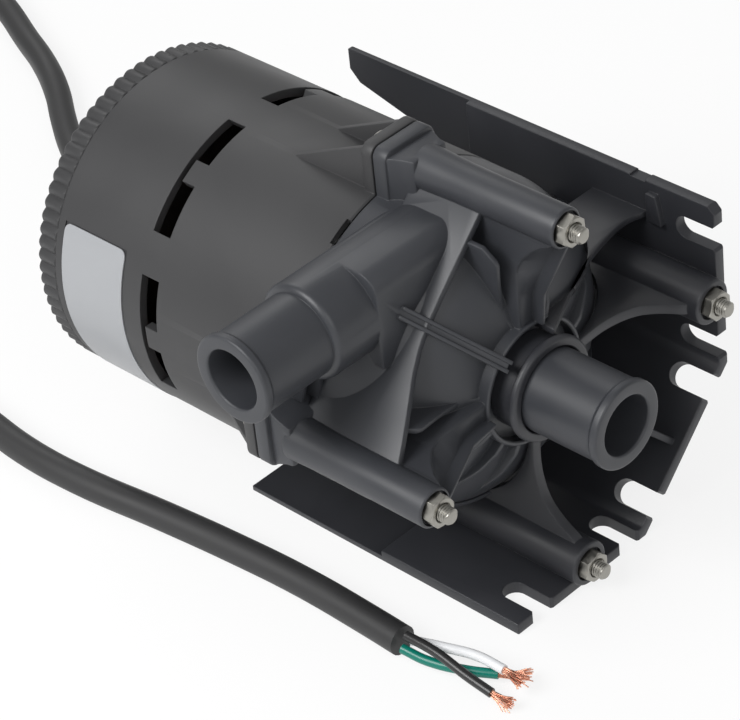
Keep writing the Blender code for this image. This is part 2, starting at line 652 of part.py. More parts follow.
def slot_cutters():
    """Round-ended slots, open to the front: a pair for each of the three plates."""
    radius = SLOT_WIDTH / 2
    centre_y = SLOT_END_Y - radius
    facets = {
        0.0: (OUTER_SLOT_OFFSET, -INNER_SLOT_OFFSET),
        315.0: (MIDDLE_SLOT_OFFSET, -MIDDLE_SLOT_OFFSET),
        270.0: (INNER_SLOT_OFFSET, -OUTER_SLOT_OFFSET),
    }
    pairs = []
    for station, offsets in facets.items():
        place = about_axis(station) @ UPRIGHT
        pair = []
        for offset in offsets:
            outline = [(offset - radius, BRACKET_FRONT_Y - radius)]
            outline += [(offset + radius, BRACKET_FRONT_Y - radius)]
            outline += arc(offset, centre_y, radius, radius, 0, 180, 6)
            pair.append(prism(outline, BRACKET_INNER - radius, BRACKET_REACH + radius, place))
        pairs.append(gather(pair))
    return pairs


def behind_web(radius):
    """Rear limit of a web, just in front of the dome or of the lug."""
    if radius >= BODY_RADIUS:
        return LUG_FRONT_Y - CLEARANCE
    return dome_y(radius) - 3 * CLEARANCE


def bracket_web(station_degrees, front, reach, wall):
    """Radial web from the collar with a concave front edge and a back that follows the dome."""
    start = COLLAR_RADIUS - WEB_WALL / 2
    radii = [BODY_RADIUS - (BODY_RADIUS - RING_INNER_RADIUS) * step / 8 for step in range(9)]
    back = [(radius, behind_web(radius - CLEARANCE)) for radius in radii]
    beyond = BODY_RADIUS + 4 * CLEARANCE
    outline = front + [(reach, LUG_FRONT_Y - CLEARANCE), (beyond, LUG_FRONT_Y - CLEARANCE)]
    outline += back + [(start, GROOVE_FLOOR_Y - 2 * CLEARANCE)]
    return radial_plate(outline, wall, station_degrees)


def boss_web_front():
    """Front edge that leaves the collar level and drops steeply to a bracket boss."""
    depth = SLOT_END_Y - BRACKET_FRONT_Y - CLEARANCE
    start = COLLAR_RADIUS - WEB_WALL / 2
    span = BOLT_CIRCLE_RADIUS - BRACKET_BOSS_RADIUS / 2 - start
    drop = [(0.0, 1.0), (0.36, 1.02), (0.52, 0.97), (0.66, 0.84), (0.79, 0.52), (0.90, 0.10), (1.0, 0.0)]
    return [(start + across * span, BRACKET_FRONT_Y + high * depth) for across, high in drop]


def middle_web_front():
    start = COLLAR_RADIUS - WEB_WALL / 2
    reach = BRACKET_INNER + PLATE_WALL / 2
    return [(start, SLOT_END_Y - CLEARANCE), (reach / 2, 0.7 * SLOT_END_Y), (reach, 2 * BRACKET_FRONT_Y)]


def side_web_heights():
    """Lower and upper face of the web that leaves the collar's top."""
    low = COLLAR_RADIUS - SIDE_WEB_WALL / 2
    return low, low + SIDE_WEB_WALL


def side_web():
    """Upright web from the collar's top to the side plate, with a hanging front edge."""
    low, high = side_web_heights()
    start = SUPPORT_HALF_WIDTH + 2 * CLEARANCE
    end = BRACKET_INNER + PLATE_WALL / 2
    sag = SLOT_END_Y + SLOT_WIDTH
    hang = [(0.19, 0.59), (0.32, 0.77), (0.51, 0.99), (0.68, 1.11), (0.80, 1.16), (0.92, 1.13), (1.0, 0.96)]
    front = [(start, 0.42 * sag)] + [(across * end, low_y * sag) for across, low_y in hang]
    spots = [end - (end - start) * step / 10 for step in range(11)]
    back = []
    for spot in spots:
        radius = hypot(spot, low)
        limit = behind_web(radius - CLEARANCE) if radius < BODY_RADIUS else LUG_FRONT_Y - CLEARANCE
        back.append((spot, limit))
    outline = front + back
    return prism(outline, low, high)


def collar():
    flare = arc(COLLAR_RADIUS, COLLAR_FRONT_Y, COLLAR_RADIUS - STUB_RADIUS - 2 * CLEARANCE,
                COLLAR_RADIUS - STUB_RADIUS, 180, 90, 5)
    inner = STUB_RADIUS + CLEARANCE
    rear = GROOVE_FLOOR_Y - 2 * CLEARANCE
    return turned([(inner, rear), (inner, COLLAR_FRONT_Y)] + flare + [(COLLAR_RADIUS, rear)])


def mounting_bracket(parent):
    strip = lengthwise(facet_strip(BRACKET_REACH, BRACKET_INNER), BRACKET_FRONT_Y, TONGUE_REAR_Y)
    bracket = add_object("mounting_bracket", to_mesh("mounting_bracket", strip), "black_bracket", parent)
    combine(bracket, "cut_rear", rear_cutter(), "DIFFERENCE")
    combine(bracket, "cut_floor_thin", floor_thinning(), "DIFFERENCE")
    combine(bracket, "cut_tongue_thin", tongue_thinning(), "DIFFERENCE")
    bosses = []
    for name in BRACKET_STATIONS:
        x, z = station_place(name)
        bosses.append(cylinder(BRACKET_BOSS_RADIUS, BOSS_FRONT_Y, LUG_FRONT_Y - CLEARANCE, x, z, 24))
    combine(bracket, "add_bosses", gather(bosses), "UNION")
    combine(bracket, "add_collar", collar(), "UNION")
    reach = BOLT_CIRCLE_RADIUS - BRACKET_BOSS_RADIUS / 2
    webs = [bracket_web(BOLT_STATIONS[name], boss_web_front(), reach, WEB_WALL) for name in BRACKET_STATIONS]
    middle_reach = BRACKET_INNER + PLATE_WALL / 2
    webs.append(bracket_web(315.0, middle_web_front(), middle_reach, SIDE_WEB_WALL))
    for number, web in enumerate(webs):
        combine(bracket, f"add_web_{number}", web, "UNION")
    combine(bracket, "add_side_web", side_web(), "UNION")
    for number, pair in enumerate(slot_cutters()):
        combine(bracket, f"cut_slots_{number}", pair, "DIFFERENCE")
    combine(bracket, "cut_corner", corner_cutter(), "DIFFERENCE")
    holes = pocketed_holes(LUG_FRONT_Y + BODY_WALL, BRACKET_STATIONS)
    combine(bracket, "cut_bolt_holes", holes, "DIFFERENCE")
    return bracket


# Motor housing and rear cap

def window_centres():
    pitch = 360.0 / WINDOW_COUNT
    return [WINDOW_FIRST_DEGREES + pitch * number for number in range(WINDOW_COUNT)]


def window(centre_degrees):
    """Cutter of a window whose front edge keeps a snap tab in its middle."""
    half = MOTOR_RADIUS * sin(radians(WINDOW_SPAN_DEGREES / 2))
    tab = SNAP_TAB_WIDTH / 2
    rear = WINDOW_Y + WINDOW_WIDTH
    tab_y = WINDOW_Y + SNAP_TAB_LENGTH
    outline = [(-half, WINDOW_Y), (-tab, WINDOW_Y), (-tab, tab_y), (tab, tab_y), (tab, WINDOW_Y)]
    outline += [(half, WINDOW_Y), (half, rear), (-half, rear)]
    return prism(outline, BODY_RADIUS / 2, MOTOR_RADIUS + MOTOR_WALL, about_axis(centre_degrees) @ UPRIGHT)


def sector(inner, outer, start_y, end_y, centre_degrees, span_degrees, count):
    """Curved block between two radii about the pump axis."""
    half = span_degrees / 2
    outline = arc(0, 0, outer, outer, centre_degrees - half, centre_degrees + half, count)
    outline += arc(0, 0, inner, inner, centre_degrees + half, centre_degrees - half, count)
    return lengthwise(outline, start_y, end_y)


def ear_gussets(reach, station_degrees):
    """Two triangular plates behind an ear, one on each side of the bolt head."""
    top = reach - LUG_CORNER / 2
    outline = [(MOTOR_INNER, HOUSING_FRONT_Y + EAR_LENGTH / 2), (top, HOUSING_FRONT_Y + EAR_LENGTH / 2)]
    outline += [(top, EAR_REAR_Y), (MOTOR_INNER + MOTOR_WALL / 4, GUSSET_TIP_Y), (MOTOR_INNER, GUSSET_TIP_Y)]
    pieces = []
    for side in (-1, 1):
        far = side * (LUG_HALF_WIDTH - GUSSET_INSET)
        near = far - side * GUSSET_WALL
        pieces.append(prism(outline, min(far, near), max(far, near), about_axis(station_degrees)))
    return pieces


def housing_body():
    """Tube with an inner flange that clamps the separation shell, left long at the front."""
    flange_y = SHELL_FLANGE_Y + SHELL_FLANGE_WALL + CLEARANCE + MOTOR_WALL
    front = HOUSING_FRONT_Y - MOTOR_WALL
    return turned([
        (MOTOR_RADIUS, front),
        (MOTOR_RADIUS, MOTOR_REAR_Y),
        (MOTOR_INNER, MOTOR_REAR_Y),
        (MOTOR_INNER, flange_y),
        (SHELL_RADIUS, flange_y),
        (SHELL_RADIUS, front),
    ])


def housing_front_cutter():
    """Everything in front of the seam, with the recess for the shell's flange."""
    beyond = BRACKET_REACH + PLATE_WALL
    front = HOUSING_FRONT_Y - 2 * MOTOR_WALL
    rim = SHELL_FLANGE_RADIUS + CLEARANCE
    recess_y = SHELL_FLANGE_Y + SHELL_FLANGE_WALL + CLEARANCE
    profile = [(0.0, front), (beyond, front), (beyond, HOUSING_FRONT_Y), (rim, HOUSING_FRONT_Y)]
    return turned(profile + [(rim, recess_y), (0.0, recess_y)], closed=False)


def motor_housing(parent):
    housing = add_object("motor_housing", to_mesh("motor_housing", housing_body()), "black_plastic", parent)
    ears = []
    gussets = []
    for name, station in BOLT_STATIONS.items():
        reach = LUG_REACH if name in FREE_STATIONS else BRACKET_LUG_REACH
        ears.append(lug_block(reach, HOUSING_FRONT_Y - EAR_LENGTH / 2, EAR_REAR_Y, station))
        gussets += ear_gussets(reach, station)
    combine(housing, "add_ears", gather(ears), "UNION")
    combine(housing, "add_gussets", gather(gussets), "UNION")
    combine(housing, "cut_front", housing_front_cutter(), "DIFFERENCE")
    span = LABEL_END_DEGREES - LABEL_START_DEGREES + degrees(2 * CLEARANCE / MOTOR_RADIUS)
    recess = sector(MOTOR_RADIUS - LABEL_RECESS, MOTOR_RADIUS + MOTOR_WALL, LABEL_FRONT_Y - CLEARANCE,
                    LABEL_REAR_Y + CLEARANCE, (LABEL_START_DEGREES + LABEL_END_DEGREES) / 2, span, 14)
    combine(housing, "cut_label_recess", recess, "DIFFERENCE")
    holes = bolt_holes(HOUSING_FRONT_Y - BODY_WALL, EAR_REAR_Y + BODY_WALL, BOLT_STATIONS)
    combine(housing, "cut_bolt_holes", holes, "DIFFERENCE")
    combine(housing, "cut_windows", gather([window(centre) for centre in window_centres()]), "DIFFERENCE")
    return housing


def rating_label(parent):
    inner = MOTOR_RADIUS - LABEL_RECESS + CLEARANCE
    centre = (LABEL_START_DEGREES + LABEL_END_DEGREES) / 2
    span = LABEL_END_DEGREES - LABEL_START_DEGREES
    bm = sector(inner, inner + LABEL_WALL, LABEL_FRONT_Y, LABEL_REAR_Y, centre, span, 14)
    return add_object("rating_label", to_mesh("rating_label", bm), "label_film", parent)


def scalloped_rim(depth):
    """Outline of the grip rim, with one shallow scallop after another."""
    count = 3 * SCALLOP_COUNT
    outline = []
    for step in range(count):
        turn = 2 * pi * step / count
        wave = abs(cos(SCALLOP_COUNT * turn / 2))
        radius = MOTOR_RADIUS - depth * (1 - wave)
        outline.append((radius * cos(turn), radius * sin(turn)))
    return outline


def rear_cap(parent):
    front = MOTOR_REAR_Y + CLEARANCE
    bm = lengthwise(scalloped_rim(SCALLOP_DEPTH), front, CAP_REAR_Y)
    cap = add_object("rear_cap", to_mesh("rear_cap", bm), "black_plastic", parent)
    spigot = MOTOR_INNER - CLEARANCE
    bore = spigot - CAP_WALL / 2
    start, end = front - CAP_SPIGOT_LENGTH, front + CAP_WALL / 2
    combine(cap, "add_spigot", turned([(bore, start), (spigot, start), (spigot, end), (bore, end)]), "UNION")
    room = cylinder(bore, start - CAP_WALL, CAP_REAR_Y - CAP_WALL, 0, 0, BODY_STEPS)
    combine(cap, "cut_room", room, "DIFFERENCE")
    hole = cylinder(GLAND_NECK_RADIUS, MOTOR_REAR_Y, CAP_REAR_Y + CAP_WALL, GLAND_X, GLAND_Z, 24)
    combine(cap, "cut_gland_hole", hole, "DIFFERENCE")
    return cap


def cord_gland(parent):
    """Strain relief that snaps into the rear cap and tapers along the cord."""
    neck = GLAND_NECK_RADIUS - CLEARANCE
    inside = CAP_REAR_Y - CAP_WALL - CLEARANCE
    outside = CAP_REAR_Y + CLEARANCE
    collar_wall = CAP_WALL - 4 * CLEARANCE
    tip = CORD_RADIUS + 2 * CLEARANCE
    bm = turned([
        (0.0, inside - collar_wall),
        (neck, inside - collar_wall),
        (GLAND_FLANGE_RADIUS, inside),
        (neck, inside),
        (neck, outside),
        (GLAND_FLANGE_RADIUS, outside),
        (GLAND_FLANGE_RADIUS, outside + collar_wall),
        (GLAND_FLANGE_RADIUS - collar_wall / 2, outside + 1.4 * collar_wall),
        (tip, GLAND_END_Y),
        (0.0, GLAND_END_Y),
    ], 24, closed=False)
    bmesh.ops.translate(bm, verts=bm.verts, vec=(GLAND_X, 0, GLAND_Z))
    return add_object("cord_gland", to_mesh("cord_gland", bm), "rubber", parent)


# Motor inside

def separation_shell(parent):
    """Thin steel bowl between the water and the stator, clamped by its flange."""
    outer = SHELL_RADIUS + SHELL_WALL
    front, rear = SHELL_FLANGE_Y, SHELL_FLANGE_Y + SHELL_FLANGE_WALL
    start = degrees(atan2(rear - SPHERE_Y, sqrt(outer ** 2 - (rear - SPHERE_Y) ** 2)))
    inner_start = degrees(atan2(front - SPHERE_Y, sqrt(SHELL_RADIUS ** 2 - (front - SPHERE_Y) ** 2)))
    profile = arc(0, SPHERE_Y, SHELL_RADIUS, SHELL_RADIUS, 90, inner_start, 6)
    profile += [(SHELL_FLANGE_RADIUS, front), (SHELL_FLANGE_RADIUS, rear)]
    profile += arc(0, SPHERE_Y, outer, outer, start, 90, 6)
    profile[0] = (0.0, profile[0][1])
    profile[-1] = (0.0, profile[-1][1])
    bm = turned(profile, INNER_STEPS, closed=False)
    return add_object("separation_shell", to_mesh("separation_shell", bm), "stainless", parent)


def bearing_post(parent):
    ball_back = SPHERE_Y + sqrt(BALL_RADIUS ** 2 - POST_RADIUS ** 2) + CLEARANCE
    foot = SPHERE_Y + SHELL_RADIUS - CLEARANCE
    foot_radius = 2 * POST_RADIUS
    foot_edge = SPHERE_Y + sqrt(SHELL_RADIUS ** 2 - foot_radius ** 2) - CLEARANCE
    bm = turned([
        (0.0, ball_back),
        (POST_RADIUS, ball_back),
        (POST_RADIUS, foot_edge - foot_radius),
        (foot_radius, foot_edge - POST_RADIUS),
        (foot_radius, foot_edge),
        (0.0, foot),
    ], BOSS_STEPS, closed=False)
    return add_object("bearing_post", to_mesh("bearing_post", bm), "stainless", parent)


def bearing_ball(parent):
    """Ceramic ball with a flat seat for the post."""
    flat = degrees(atan2(sqrt(BALL_RADIUS ** 2 - POST_RADIUS ** 2), POST_RADIUS))
    half = arc(0, SPHERE_Y, BALL_RADIUS, BALL_RADIUS, -90, flat, 8)
    half[0] = (0.0, half[0][1])
    bm = turned(half + [(0.0, half[-1][1])], BOSS_STEPS, closed=False)
    return add_object("bearing_ball", to_mesh("bearing_ball", bm), "ceramic", parent)


def rotor_cup(parent):
    """Magnet hemisphere with a hole for the post."""
    inner = SPHERE_RADIUS - ROTOR_WALL
    outer_end = degrees(atan2(sqrt(SPHERE_RADIUS ** 2 - ROTOR_HOLE_RADIUS ** 2), ROTOR_HOLE_RADIUS))
    inner_end = degrees(atan2(sqrt(inner ** 2 - ROTOR_HOLE_RADIUS ** 2), ROTOR_HOLE_RADIUS))
    profile = arc(0, SPHERE_Y, SPHERE_RADIUS, SPHERE_RADIUS, 0, outer_end, 7)
    profile += arc(0, SPHERE_Y, inner, inner, inner_end, 0, 5)
    bm = turned(profile, INNER_STEPS)
    return add_object("rotor_cup", to_mesh("rotor_cup", bm), "magnet", parent)


def impeller_hub():
    """Conical hub with a socket that turns on the ball."""
    back = SPHERE_Y - CLEARANCE
    socket = BALL_RADIUS + CLEARANCE
    mouth = sqrt(socket ** 2 - CLEARANCE ** 2)
    profile = [(0.0, HUB_NOSE_Y)]
    profile += arc(0, HUB_NOSE_Y + BALL_RADIUS, BALL_RADIUS, BALL_RADIUS, -60, -30, 3)
    profile += [(SPHERE_RADIUS, back - 2 * CAP_WALL), (SPHERE_RADIUS, back), (mouth, back)]
    profile += arc(0, SPHERE_Y, socket, socket, -8, -90, 7)
    profile[-1] = (0.0, profile[-1][1])
    return turned(profile, INNER_STEPS, closed=False)


def vane():
    """Curved blade, swept back by an arc, that stands on the hub."""
    eye = BORE_RADIUS
    tip = SPHERE_RADIUS - CLEARANCE
    count = 6
    spine = []
    for step in range(count + 1):
        share = step / count
        radius = eye + (tip - eye) * share
        turn = radians(55.0) * share ** 0.8
        spine.append(Vector((radius * cos(turn), radius * sin(turn))))
    left = []
    right = []
    for number, point in enumerate(spine):
        ahead = spine[min(number + 1, count)] - spine[max(number - 1, 0)]
        normal = Vector((-ahead.y, ahead.x)).normalized() * VANE_WALL / 2
        left.append(point + normal)
        right.append(point - normal)
    outline = [(point.x, point.y) for point in left + right[::-1]]
    front = CHAMBER_FRONT_Y + 2 * RUNNING_GAP
    return lengthwise(outline, front, SPHERE_Y - 2 * CAP_WALL)


def impeller(parent):
    wheel = add_object("impeller", to_mesh("impeller", impeller_hub()), "impeller_plastic", parent)
    vanes = []
    for number in range(VANE_COUNT):
        blade = vane()
        turn = about_axis(360.0 * number / VANE_COUNT)
        bmesh.ops.transform(blade, matrix=turn, verts=blade.verts)
        vanes.append(blade)
    front = CHAMBER_FRONT_Y - BODY_WALL
    radii = [SPHERE_RADIUS * share for share in (0.6, 0.8, 1.0, 1.2)]
    rim = [(radius, dome_y(radius, BODY_WALL) + RUNNING_GAP) for radius in radii]
    trim = turned([(radii[-1], front)] + rim[::-1] + [(radii[0], front)], INNER_STEPS)
    combine(wheel, "add_vanes", gather(vanes), "UNION")
    combine(wheel, "cut_vane_fronts", trim, "DIFFERENCE")
    return wheel


def stator(parent):
    outer = MOTOR_INNER - CLEARANCE
    rear = STATOR_FRONT_Y + STATOR_LENGTH
    bore = STATOR_BORE_RADIUS
    core = turned([(bore, STATOR_FRONT_Y), (outer, STATOR_FRONT_Y), (outer, rear), (bore, rear)], INNER_STEPS)
    add_object("stator_core", to_mesh("stator_core", core), "lamination", parent)
    front_end = STATOR_FRONT_Y - CLEARANCE
    add_winding("stator_winding_front", front_end - WINDING_FRONT_LENGTH, front_end, parent)
    rear_start = rear + CLEARANCE
    add_winding("stator_winding_rear", rear_start, rear_start + WINDING_REAR_LENGTH, parent)


def add_winding(name, start_y, end_y, parent):
    """Coil heads as one ring with round corners."""
    middle_y = (start_y + end_y) / 2
    middle = (STATOR_BORE_RADIUS + WINDING_RADIUS) / 2
    half = (WINDING_RADIUS - STATOR_BORE_RADIUS) / 2 - CLEARANCE
    outline = arc(middle, middle_y, half, (end_y - start_y) / 2, 0, 315, 7)
    return add_object(name, to_mesh(name, turned(outline, INNER_STEPS)), "copper", parent)


# Fasteners

def bolt(name, parent):
    head = EAR_REAR_Y + CLEARANCE
    chamfer = BOLT_RADIUS / 4
    profile = [(0.0, BOLT_TIP_Y), (BOLT_RADIUS - chamfer, BOLT_TIP_Y), (BOLT_RADIUS, BOLT_TIP_Y + chamfer)]
    profile += [(BOLT_RADIUS, head), (BOLT_HEAD_RADIUS, head)]
    profile += arc(0, head + BOLT_HEAD_HEIGHT / 2, BOLT_HEAD_RADIUS, BOLT_HEAD_HEIGHT / 2, 0, 90, 3)
    profile[-1] = (0.0, profile[-1][1])
    x, z = station_place(name)
    thing = add_object(f"bolt_{name}", to_mesh(f"bolt_{name}", turned(profile, BOLT_STEPS, False)),
                       "zinc_steel", parent)
    thing.location = (x, 0, z)
    return thing


def nut(name, parent):
    """Hexagon nut in its pocket, with the bolt's hole through it."""
    corner = NUT_ACROSS_FLATS / 2 / cos(pi / 6)
    face = NUT_FACE_Y - CLEARANCE
    hexagon = [(corner * cos(pi * side / 3), corner * sin(pi * side / 3)) for side in range(6)]
    bm = lengthwise(hexagon, face - NUT_HEIGHT, face)
    x, z = station_place(name)
    thing = add_object(f"nut_{name}", to_mesh(f"nut_{name}", bm), "zinc_steel", parent)
    thing.location = (x, 0, z)
    hole = cylinder(BOLT_RADIUS + CLEARANCE, face - 2 * NUT_HEIGHT, face + NUT_HEIGHT, 0, 0)
    tool = to_mesh(f"cut_nut_{name}", hole)
    cutter = add_object(f"cut_nut_{name}", tool, None, thing)
    cutter.hide_render = True
    cutter.display_type = "WIRE"
    boolean = thing.modifiers.new("hole", "BOOLEAN")
    boolean.operation = "DIFFERENCE"
    boolean.solver = "EXACT"
    boolean.object = cutter
    return thing


# Cord

def meeting_distance(turn_radius):
    """How far before its tangent point a cord that joins this turn meets the coil's outer face."""
    return sqrt(COIL_OUTER ** 2 - (turn_radius - CORD_RADIUS) ** 2) + CLEARANCE


def lead_route():
    """Way of the cord from the strain relief to the coil's outer turn, in world metres."""
    low = CORD_RADIUS
    start_y = GLAND_END_Y + CLEARANCE
    start_z = AXIS_HEIGHT + GLAND_Z
    top = COIL_Y + COIL_FIRST_TURN
    return [
        (GLAND_X, start_y, start_z),
        (GLAND_X, start_y + 0.010, start_z),
        (0.021, 0.214, 0.0310),
        (0.034, 0.232, 0.0150),
        (0.0465, 0.248, 0.0058),
        (0.0540, 0.2635, low),
        (0.0605, 0.2760, low),
        (0.0698, 0.2903, low),
        (0.0805, 0.3055, low),
        (0.0900, 0.3225, low),
        (0.0975, 0.3400, low),
        (0.1065, 0.3605, low),
        (0.1130, 0.3800, low),
        (0.1090, 0.4010, low),
        (0.0930, 0.4155, low),
        (0.0700, top, low),
        (0.0480, top, low),
        (COIL_X + meeting_distance(COIL_FIRST_TURN), top, low),
    ]


def tail_route():
    """Way of the cord from the coil's top to its cut end, in world metres."""
    low = CORD_RADIUS
    high = low + (COIL_LAYERS - 1) * CORD_DIAMETER
    side = COIL_X - COIL_LAST_TURN
    start_y = COIL_Y - meeting_distance(COIL_LAST_TURN)
    return [
        (side, start_y, high),
        (side, start_y - 0.015, high - 0.0008),
        (side - 0.0004, start_y - 0.040, low + 0.0035),
        (side - 0.0014, start_y - 0.065, low + 0.0004),
        (side - 0.0030, start_y - 0.085, low),
        (side - 0.0062, 0.217, low),
        (-0.0548, 0.190, low),
        (-0.0575, 0.166, low),
        (-0.0572, 0.144, low),
        (-0.0535, 0.111, low),
        (-0.0512, 0.086, low),
        (-0.0498, 0.060, low),
        (-0.0502, 0.034, low),
        (-0.0507, 0.022, low),
    ]


WIRE_ROUTES = {
    "green": ([(-0.0529, 0.0214, 0.0042), (-0.0517, 0.012, 0.0034), (-0.0475, 0.001, 0.0030),
               (-0.0435, -0.006, 0.0028)], (-0.0385, -0.0135, 0.0025)),
    "white": ([(-0.0490, 0.0214, 0.0040), (-0.0458, 0.010, 0.0042), (-0.0442, 0.000, 0.0064),
               (-0.0442, -0.009, 0.0064)], (-0.0442, -0.0160, 0.0058)),
    "black": ([(-0.0509, 0.0214, 0.0076), (-0.0504, 0.010, 0.0074), (-0.0506, -0.002, 0.0048),
               (-0.0506, -0.010, 0.0034)], (-0.0506, -0.0170, 0.0024)),
}


def smooth_points(route, spacing):
    """Points along a smooth curve through the route."""
    points = [Vector(point) for point in route]
    points = [2 * points[0] - points[1]] + points + [2 * points[-1] - points[-2]]
    fine = []
    for before, start, end, after in zip(points, points[1:], points[2:], points[3:]):
        count = max(1, round((end - start).length / spacing))
        for step in range(count):
            t = step / count
            fine.append(0.5 * (2 * start + (end - before) * t
                               + (2 * before - 5 * start + 4 * end - after) * t ** 2
                               + (3 * start - before - 3 * end + after) * t ** 3))
    fine.append(points[-2])
    return fine


def add_tube(name, route, diameter, finish_name, spacing, resolution, parent):
    """Tube with round ends filled, which nowhere dips below the floor."""
    curve = bpy.data.curves.new(name, "CURVE")
    curve.dimensions = "3D"
    curve.bevel_depth = diameter / 2
    curve.bevel_resolution = resolution
    curve.use_fill_caps = True
    points = smooth_points(route, spacing)
    spline = curve.splines.new("POLY")
    spline.points.add(len(points) - 1)
    for slot, point in zip(spline.points, points):
        slot.co = (point.x, point.y, max(point.z, diameter / 2), 1.0)
    return add_object(name, curve, finish_name, parent)


def cord_coil(parent):
    """Outer shape of the coiled cord, lying on the floor."""
    top = COIL_LAYERS * CORD_DIAMETER + CLEARANCE
    bm = turned([(COIL_INNER, 0.0), (COIL_OUTER, 0.0), (COIL_OUTER, top), (COIL_INNER, top)], BODY_STEPS)
    place = Matrix.Translation((COIL_X, COIL_Y, 0)) @ Matrix.Rotation(pi / 2, 4, "X")
    bmesh.ops.transform(bm, matrix=place, verts=bm.verts)
    return add_object("cord_coil", to_mesh("cord_coil", bm), "cord_jacket", parent)


def cord_set(parent):
    spacing = 2.2 * CORD_DIAMETER
    add_tube("cord_lead", lead_route(), CORD_DIAMETER, "cord_jacket", spacing, 3, parent)
    cord_coil(parent)
    add_tube("cord_tail", tail_route(), CORD_DIAMETER, "cord_jacket", spacing, 3, parent)
    for colour, (route, tip) in WIRE_ROUTES.items():
        end = Vector(route[-1])
        step = (Vector(tip) - end).normalized() * CLEARANCE
        bare = [end + step, Vector(tip)]
        spacing = 2 * WIRE_DIAMETER
        add_tube(f"wire_{colour}", route, WIRE_DIAMETER, f"{colour}_wire", spacing, 2, parent)
        add_tube(f"copper_{colour}", bare, COPPER_DIAMETER, "copper", spacing, 2, parent)


def add_frame(name, height):
    """Empty that carries pieces built from Y = 0 at the bolts' front ends."""
    frame = bpy.data.objects.new(name, None)
    bpy.context.scene.collection.objects.link(frame)
    frame.location = (0, -ORIGIN_DEPTH, height)
    return frame


def main():
    clear_scene()
    axis = add_frame("pump_axis", AXIS_HEIGHT)
    volute_housing(axis)
    mounting_bracket(axis)
    motor_housing(axis)
    rear_cap(axis)
    cord_gland(axis)
    rating_label(axis)
    volute_seal(axis)
    separation_shell(axis)
    bearing_post(axis)
    bearing_ball(axis)
    rotor_cup(axis)
    impeller(axis)
    stator(axis)
    for name in BOLT_STATIONS:
        bolt(name, axis)
        nut(name, axis)
    cord_set(add_frame("cord_floor", 0.0))
    for thing in bpy.data.objects:
        if thing.type == "MESH" and not thing.hide_render:
            shade(thing)


main()
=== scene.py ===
import random
from math import atan2, cos, degrees, hypot, pi, radians, sin, sqrt, tan

import bmesh
import bpy
from mathutils import Matrix, Vector


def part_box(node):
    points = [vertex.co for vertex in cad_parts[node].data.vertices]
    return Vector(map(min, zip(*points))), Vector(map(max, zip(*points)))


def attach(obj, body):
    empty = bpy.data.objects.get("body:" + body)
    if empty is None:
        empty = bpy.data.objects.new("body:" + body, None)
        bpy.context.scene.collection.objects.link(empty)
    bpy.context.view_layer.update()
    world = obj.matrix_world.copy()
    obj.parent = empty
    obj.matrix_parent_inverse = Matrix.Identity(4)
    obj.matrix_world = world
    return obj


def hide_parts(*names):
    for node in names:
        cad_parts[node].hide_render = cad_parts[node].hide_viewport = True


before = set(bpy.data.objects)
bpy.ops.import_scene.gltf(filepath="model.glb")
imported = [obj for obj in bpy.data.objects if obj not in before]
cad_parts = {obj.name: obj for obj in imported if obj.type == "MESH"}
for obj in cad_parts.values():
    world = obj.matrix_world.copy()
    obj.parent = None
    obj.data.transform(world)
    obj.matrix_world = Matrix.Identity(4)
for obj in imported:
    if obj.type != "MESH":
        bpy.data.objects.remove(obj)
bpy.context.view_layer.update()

# Places taken from the frame
POST_LOW, POST_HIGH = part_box("bearing_post")
VOLUTE_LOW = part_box("volute_housing")[0]
BRACKET_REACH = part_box("mounting_bracket")[1].x
CAP_END_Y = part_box("rear_cap")[1].y
AXIS_HEIGHT = (POST_LOW.z + POST_HIGH.z) / 2
SUCTION_MOUTH_Y = -0.0172
PUMP_ORIGIN = Vector((0, VOLUTE_LOW.y - SUCTION_MOUTH_Y, AXIS_HEIGHT))

# Housing dimensions in metres, about the pump axis; Y counts backwards from just behind the bosses' fronts
CLEARANCE = 0.0003
STUB_RADIUS = 0.0120
STUB_LIP_RADIUS = 0.0127
STUB_LIP_LENGTH = 0.0024
BORE_RADIUS = 0.0086
DISCHARGE_MOUTH_X = VOLUTE_LOW.x
DISCHARGE_Y = 0.0440
NECK_RADIUS = 0.0139
NECK_START_X = -0.0520
HOOD_LEFT_X = -0.0390
HOOD_RIGHT_X = -0.0018
HOOD_FRONT_Y = 0.0300
HOOD_EDGE = 0.0062
BODY_RADIUS = 0.0480
BODY_WALL = 0.0030
DOME_CENTRE_RADIUS = 0.0100
DOME_BACK_Y = 0.0470
GROOVE_FLOOR_Y = 0.0185
GROOVE_RADIUS = 0.0210
RING_TOP_Y = 0.0146
RING_INNER_RADIUS = 0.0172
RING_WALL = 0.0014
SEAM_Y = 0.0580
RIB_WALL = 0.0015
LUG_REACH = 0.0615
LUG_HALF_WIDTH = 0.0095
LUG_LENGTH = 0.0120
LUG_CORNER = 0.0030
LUG_FLANGE_LENGTH = 0.0048
BOSS_RADIUS = 0.0057
BOSS_FLARE_RADIUS = 0.0062
BOSS_FRONT_Y = -0.0005
BOSS_TIP_ROUND = 0.0007
SUPPORT_HALF_WIDTH = 0.0033
SUPPORT_END_RADIUS = 0.0520
SUPPORT_STEPS = 44
FLANK_RIB_WALL = 0.0014
FLANK_RIB_DEGREES = 11.25
CHORD_WALL = 0.0022
BEAM_DEGREES = 132.5
BEAM_HALF_WIDTH = 0.0018
BEAM_RIDGE = 0.0011
BOLT_CIRCLE_RADIUS = 0.0550
BOLT_RADIUS = 0.0024
BOLT_TIP_Y = -0.0065
BOLT_HEAD_RADIUS = 0.0045
BOLT_HEAD_HEIGHT = 0.0036
THREAD_PITCH = 0.0008
THREAD_DEPTH = 0.00030
NUT_ACROSS_FLATS = 0.0080
NUT_HEIGHT = 0.0040
NUT_POCKET_DEPTH = 0.0015
EAR_LENGTH = 0.0037
